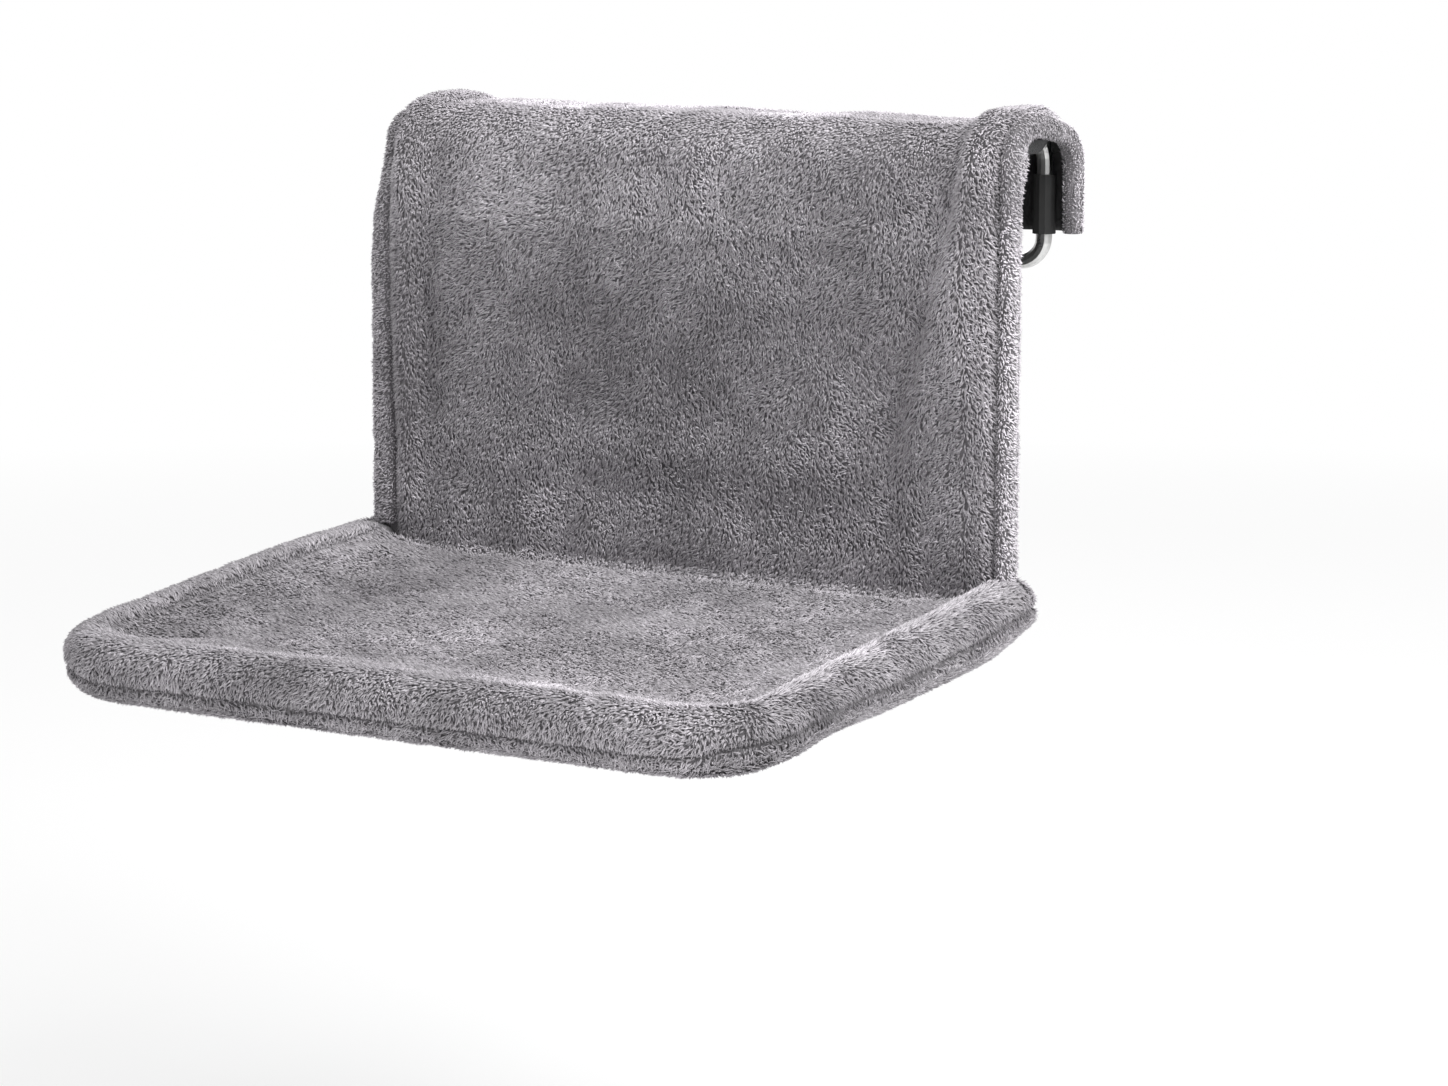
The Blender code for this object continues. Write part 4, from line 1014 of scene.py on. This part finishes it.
def seat_comb(spots, outward, kept):
    """The seat's pile: brushed forward on the panel, out over the rim and away from its seams."""
    x, y, z = from_seat(spots).T
    inset, way_out = seat_inset(x, y)
    out = way_out @ SEAT_TURN.T
    forward = SEAT_TURN @ np.array([0.0, -1, 0])
    stitch = stitch_line(x)
    on_panel = climb(inset, -1, 6, stitch) * (z > -8 * MM)
    base = out * (1 - on_panel)[:, None] + forward * on_panel[:, None]
    outside = (inset < 14 * MM)[:, None]
    over_seam = z - seam_height(x, y)
    base = base - SEAT_UP * 0.8 * outside * np.where(np.abs(over_seam) < 6 * MM, 1.0, 0.5)[:, None]
    base = laid(base, outward)
    yaw = 0.95 * wander(spots, 38 * MM, 71) + 0.95 * wander(spots, 11 * MM, 72)
    way = swung(base, np.cross(outward, base), yaw)
    size = 0.9 + 0.2 * wander(spots, 8 * MM, 73)
    beside = np.abs(inset - stitch + STITCH_SHIFT) + 20 * MM * (z < -4 * MM) + 5 * MM * in_front(y)
    size *= 0.3 + 0.7 * climb(beside, 0.6, 3.5)
    size *= beside > 0.45 * MM
    above = over_seam + 20 * MM * (inset > 12 * MM)
    from_ring = np.abs(y - END_SEAM_Y) + 20 * MM * ((over_seam < 0) | (inset > 2 * ROLL))
    size *= 0.2 + 0.8 * climb(from_ring, 0.3, 2.6)
    firm = seam_firmness(x)
    drawn = np.where(above > 0, 1 - climb(above, 0.8, 4.5), 1 - climb(-above, 0, 2.0))
    size *= 1 - (0.35 + 0.35 * firm) * drawn
    size *= np.where(np.abs(above) < 0.75 * MM * firm, 0, 1)
    size *= np.where(z < -10 * MM, climb(27 * MM - inset, 0, 3), 1)
    behind_cover = (np.abs(x) < 215 * MM) & (y > SEAT_REAR - 0.5 * MM) & (np.abs(z) < 11 * MM)
    size *= np.where(behind_cover, 0.0, 1.0)
    return way, size


def seat_painted_shade(spots, kept):
    """Painted shade on the seat's pile: darker on its right flank and right crest, in the sagging panel and
    more so at the rear, with a painted shadow on the left, and darker below the rim's seam and in the seams'
    creases.
    """
    x, y, z, inset = in_seat(spots)
    over_seam = z - seam_height(x, y)
    # Where painted shade falls: the right flank, the sagging panel, the rear, and a painted shadow on the
    # left.
    flank = climb(x, 200, 222) * (inset < 12 * MM)
    panel = climb(inset, 40, 90)
    rear = 1 - climb(-y, 60, 200)
    left = climb(-x, 60, 170)
    # Painted shade in the seams' creases and on the right crest.
    crease_shade = bell(over_seam, 2.2) * (inset < 10 * MM) * seam_firmness(x)
    crease_shade = np.maximum(crease_shade, bell(inset - stitch_line(x) + STITCH_SHIFT, 1.8) * (over_seam > 0))
    crest = climb(x, 188, 200) * (inset > 14 * MM) * (over_seam > 0)
    level = 1 - 0.17 * flank - 0.1 * panel - 0.08 * panel * rear - 0.13 * left
    return level - 0.05 * (over_seam < 0) - 0.25 * crease_shade - 0.1 * crest


# Finer cloth pieces


LINING_TOP = SEAT_DROP - 14 * MM
LINING_RUN = LINING_TOP + ARM_END_Y
LINING_HALF = 206 * MM
LINING_FLAT = 201 * MM
HEM_ROW = 7.5 * MM


def on_lining(x, run, proud=0.0):
    """Places on the lining, so far proud of its hidden face, and the ways out towards the radiator."""
    border = np.minimum(np.minimum(run, LINING_RUN - run), LINING_FLAT - np.abs(x))
    inner = climb(border, 1, 3.5, HEM_ROW)
    ripple = 0.3 * MM * (1 + grain(x, run, 90, 60, 81))
    ripple += 0.06 * MM * (1 + grain(x, run, 30, 26, 82))
    wing = ease(np.abs(x), 198 * MM, LINING_HALF) * 8.5 * MM
    lift = 1.0 * MM + 0.5 * MM * inner + ripple * (0.3 + 0.7 * inner) + wing - proud
    corner = 2.0 * MM
    turn = np.clip((run - LINING_TOP + corner) / (2 * corner), 0, 1) * math.pi / 2
    out = stack(0, np.cos(turn), -np.sin(turn))
    back, rise = np.maximum(run - LINING_TOP, 0), np.minimum(run, LINING_TOP)
    return stack(x, back, rise - LINING_TOP) - lift[:, None] * out, out


def make_lining():
    """The smooth back layer of the cover, hemmed, and turned up at its sides to meet the bindings."""

    def place_of(across, along):
        return on_lining((across * 2 - 1) * LINING_HALF, along * LINING_RUN)[0]

    return walled(laid_out("lining_cloth", 190, 130, place_of, LINING), 0.9 * MM)


def lining_rows():
    """The rows of stitches that hold the lining's hems."""
    shares = np.linspace(0, 1, 240)
    side = LINING_FLAT - HEM_ROW
    across = (shares * 2 - 1) * side
    upward = HEM_ROW + shares * (LINING_RUN - 2 * HEM_ROW)
    level = np.ones_like(shares)
    lines = [(across, level * HEM_ROW), (across, level * (LINING_RUN - HEM_ROW))]
    lines += [(level * side * sign, upward) for sign in SIDES.values()]
    return [on_lining(x, run, 0.95 * MM) for x, run in lines]


# The seat's base and its zip

ZIP_Y = -60 * MM
ZIP_HALF = 165 * MM
TAPE_HALF = 12 * MM
TAPE_FACE = -17.5 * MM
COIL_MIDDLE = -18.54 * MM
COIL_HALF = 0.78 * MM


class SeatUnderside:
    """The seat's lower face, found by looking up at it."""

    def __init__(self, seat):
        self.tree = BVHTree.FromObject(seat, bpy.context.evaluated_depsgraph_get())

    def below(self, x, y, drop):
        """Places so far below the lower face."""
        start = -30 * MM
        starts = on_seat(stack(x, y, start))
        hits = [self.tree.ray_cast(Vector(spot), Vector(SEAT_UP), 40 * MM)[3] for spot in starts]
        heights = np.array([-ROLL_SKIN if hit is None else start + hit for hit in hits])
        return on_seat(stack(x, y, heights - drop))

    def row(self, x, y, drop):
        """A line of places below the lower face, and the ways out there."""
        spots = self.below(x, y, drop)
        return spots, np.broadcast_to(-SEAT_UP, spots.shape)


BASE_INSET = 24 * MM
BASE_HALF = SEAT_HALF_WIDTH - BASE_INSET
BASE_FRONT, BASE_REAR = -(SEAT_REACH - BASE_INSET), SEAT_REAR - 0.5 * MM


def make_base(underside):
    """The base cloth under the seat, hemmed and sewn to the rim."""

    def place_of(across, along):
        x, y = rounded((across * 2 - 1) * BASE_HALF, BASE_FRONT + along * (BASE_REAR - BASE_FRONT))
        border = np.minimum(seat_inset(x, y)[0] - BASE_INSET, BASE_REAR - y)
        hem = 1 - climb(border, 0, 2, HEM_ROW)
        return underside.below(x, y, 0.4 * MM + 0.4 * MM * hem + 0.15 * MM * grain(x, y, 18, 18, 91))

    item = laid_out("base_cloth", 170, 118, place_of, LINING)
    reworked(item, lambda bm: bmesh.ops.reverse_faces(bm, faces=bm.faces))
    walled(item, 0.8 * MM).modifiers["wall"].offset = 1
    return item


def base_rows(underside):
    """The rows of stitches round the base cloth and along the zip's tape."""
    shares = np.linspace(0, 1, 200)
    side = BASE_HALF - 5 * MM
    front, rear = BASE_FRONT + 5 * MM, BASE_REAR - 5 * MM
    level, along, across = np.ones(200), rear + shares * (front - rear), (shares * 2 - 1) * side
    x = np.concatenate([-level * side, across, level * side, -across])
    y = np.concatenate([along, level * front, along[::-1], level * rear])
    rows = [underside.row(*rounded(x, y), 1.7 * MM)]
    for offset in (-9 * MM, 9 * MM):
        spots = stack(across / side * (ZIP_HALF - 2 * MM), ZIP_Y + offset, TAPE_FACE - 0.1 * MM)
        rows.append((on_seat(spots), rows[0][1][:200]))
    return rows


def make_zip_tape():
    """The zip's woven tape on the base cloth."""

    def place_of(across, along):
        x, y = (across * 2 - 1) * ZIP_HALF, ZIP_Y + (along * 2 - 1) * TAPE_HALF
        wave = grain(x, y, 14, 14, 95)
        near = np.abs(y - ZIP_Y) < 7 * MM
        return on_seat(stack(x, y, TAPE_FACE + 0.7 * MM + 0.06 * MM * wave * ~near))

    return walled(laid_out("zip_tape_cloth", 150, 16, place_of, TAPE), 0.7 * MM)


def make_zip_teeth():
    """The coil's teeth: two rows of loops that lock between each other."""
    pitch, width, depth = 1.5 * MM, 1.15 * MM, 2.7 * MM
    bodies = []
    for side in SIDES.values():
        x = np.arange(-ZIP_HALF + pitch * (0.5 + 0.25 * side), ZIP_HALF - width / 2, pitch)
        middle = stack(x, ZIP_Y + side * 1.15 * MM, COIL_MIDDLE)
        shape = STITCH_POINTS * (width, 2 * COIL_HALF, depth)
        bodies.append(middle[:, None] + shape[None, :, [0, 2, 1]])
    spots = np.concatenate(bodies)
    return strewn("zip_teeth", on_seat(spots), STITCH_FACES[:, ::-1], NYLON)


# Assembly

CROSSING = {"start": (0, 0.0, 0.03), "end": (0, 0.056, 0.03)}


def anywhere(centres, means):
    return np.ones(len(centres), bool)


def make_top_cover():
    cover = make_cover()
    locks = []
    bands = {
        "low": (-1, 88 * MM),
        "middle": (88 * MM, 176 * MM),
        "high": (176 * MM, RISE + 24 * MM),
        "top": (RISE + 24 * MM, 1),
    }
    for index, (word, (low, high)) in enumerate(bands.items()):

        def keep(centres, means, low=low, high=high):
            return (means["run"] >= low) & (means["run"] < high)

        locks.append(pile("cover_pile_" + word, cover, 100 + index, keep, cover_comb, cover_painted_light))
    cover_hems = []
    for index, (word, side) in enumerate(SIDES.items()):
        hem = make_hem(word, side)
        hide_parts("side_hem_" + word, "flap_hem_" + word)
        fur = pile(
            "binding_pile_" + word, hem, 110 + index, anywhere, hem_comb(side),
            binding_painted_light(word),
            length=3.8 * MM, width=1.05 * MM, lift=1.7 * MM,
        )
        cover_hems += [hem, fur]
    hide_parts("back_panel", "rear_flap")
    for item in (cover, *locks, *cover_hems):
        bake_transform(item, "frame", "rear_hooks", **CROSSING)


def make_seat_pieces():
    seat = make_seat()
    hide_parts("seat_top", "seat_wadding", "rim_foam", "rim_cap_left", "rim_cap_right")
    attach(seat, "frame")
    index = 0
    parts = ("rim", True, True), ("panel_front", False, True), ("panel_back", False, False)
    for word, side in SIDES.items():
        for part, rim, near in parts:

            def keep(centres, means, side=side, rim=rim, near=near):
                x, y, z, inset = in_seat(centres)
                on_rim = (inset < STITCH_INSET) | (z < -8 * MM)
                in_sight = (inset < 28 * MM) | (z > -9 * MM)
                here = on_rim if rim else ~on_rim & ((-y > 150 * MM) == near)
                return (x * side >= 0) & here & in_sight

            fur = pile(f"seat_{part}_pile_{word}", seat, 120 + index, keep, seat_comb, seat_painted_shade)
            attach(fur, "frame")
            index += 1
    underside = SeatUnderside(seat)
    base = make_base(underside)
    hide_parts("seat_base")
    tape = make_zip_tape()
    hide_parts("zip_tape")
    teeth = make_zip_teeth()
    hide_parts("zip_coil")
    for item in (base, tape, teeth):
        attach(item, "frame")
    rows = stitched("base_stitches", base_rows(underside))


def make_lining_piece():
    lining = make_lining()
    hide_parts("cover_lining")
    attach(lining, "frame")
    rows = stitched("lining_stitches", lining_rows())


NODE_FINISHES = {
    name: finish
    for finish, names in (
        (POWDER_COAT, "hanger cross_bar seat_tube rear_tube"),
        (SCREW_STEEL, "hanger_screw seat_tube_screw clamp_screw upper_bar_bolt lower_bar_bolt"),
        (ZINC, "hook"),
        (NYLON, "corner_socket clamp_collar"),
        (RUBBER, "tail_sleeve arm_pad"),
        (ZIP_METAL, "zip_slider zip_pull"),
    )
    for name in names.split()
}


def finish_nodes():
    """Gives each solid that stays its finish."""
    for name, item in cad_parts.items():
        fits = [key for key in NODE_FINISHES if name.startswith(key)]
        if fits:
            item.data.materials.clear()
            item.data.materials.append(NODE_FINISHES[max(fits, key=len)])


# Floor, lights and camera

WHITE = (1, 1, 1, 1)


def make_floor():
    """A pale floor that runs into white, seen only from above."""
    bm = bmesh.new()
    bmesh.ops.create_circle(bm, cap_ends=True, segments=96, radius=30)
    bmesh.ops.translate(bm, vec=(0, 0, -0.62), verts=bm.verts)
    finish = Finish("pale_floor", 0.9, Base_Color=(0.86, 0.86, 0.86, 1))
    glow = finish.node("Emission", (WHITE, 1.0))[0]
    length = finish.node("VectorMath", (finish.spots,), operation="LENGTH")["Value"]
    far = finish.span(length, 0.9, 3.2, 0.55, 1.0)
    seen = finish.sum(far, finish.node("LightPath")["Is Camera Ray"], "MULTIPLY")
    above = finish.node("MixShader", (seen, finish.shader.outputs[0], glow))[0]
    behind, clear = finish.node("NewGeometry")["Backfacing"], finish.node("BsdfTransparent")[0]
    under = finish.node("MixShader", (behind, above, clear))[0]
    finish.tree.links.new(under, finish.tree.nodes["Material Output"].inputs["Surface"])
    floor = piece("floor", bm, finish.material)


def make_surround():
    """A white surround whose light is softer than it looks."""
    world = bpy.data.worlds.new("surround")
    bpy.context.scene.world = world
    world.use_nodes = True
    tree = world.node_tree
    tree.nodes.clear()
    rays = wired(tree, "LightPath")
    seen = rays["Is Camera Ray"]
    for ray in ("Is Glossy Ray", "Is Transmission Ray"):
        seen = wired(tree, "Math", (seen, rays[ray]), operation="MAXIMUM")[0]
    soft, bright = (wired(tree, "Background", (WHITE, strength))[0] for strength in (0.42, 1.0))
    wired(tree, "OutputWorld", (wired(tree, "MixShader", (seen, soft, bright))[0],))


def make_lamps():
    """Four soft lamps, each with its place, its aim, its size and its power in watts."""
    for name, place, aim, size, power in (
        ("key", (1.95, -0.65, 1.5), (0, -0.1, -0.1), 1.2, 74),
        ("top", (0.2, -0.15, 2.2), (0, -0.1, -0.1), 1.5, 27),
        ("fill", (-1.5, -1.8, 0.7), (0, -0.1, -0.15), 1.6, 12),
        ("back", (-0.7, 1.9, 1.0), (0, 0, -0.1), 1.4, 14),
    ):
        data = bpy.data.lights.new(name, "AREA")
        data.size, data.energy = size, power
        turn = (Vector(aim) - Vector(place)).to_track_quat("-Z", "Y").to_matrix().to_4x4()
        shown(name, data).matrix_world = Matrix.Translation(place) @ turn


def make_camera():
    """The camera at the photograph's viewing angle."""
    turn, fall = math.radians(31.0), math.radians(9.7)
    focal_pixels, picture_pixels = 4137, 1448
    ahead = Vector((-math.sin(turn) * math.cos(fall), math.cos(turn) * math.cos(fall), -math.sin(fall)))
    right = Vector((math.cos(turn), math.sin(turn), 0))
    up = right.cross(ahead)
    data = bpy.data.cameras.new("camera")
    data.sensor_width = 36
    data.lens = 36 * focal_pixels / picture_pixels
    data.clip_start, data.clip_end = 0.05, 60
    distance, beside, above = -2.334, 0.022, -0.224
    place = ahead * distance + right * beside + up * above + Vector((0, -0.0125, 0))
    camera = shown("camera", data)
    camera.matrix_world = Matrix.Translation(place) @ Matrix((right, up, -ahead)).transposed().to_4x4()
    bpy.context.scene.camera = camera


def main():
    bpy.context.scene.view_settings.view_transform = "Standard"
    finish_nodes()
    make_floor()
    make_surround()
    make_lamps()
    make_camera()
    make_top_cover()
    make_seat_pieces()
    make_lining_piece()


main()
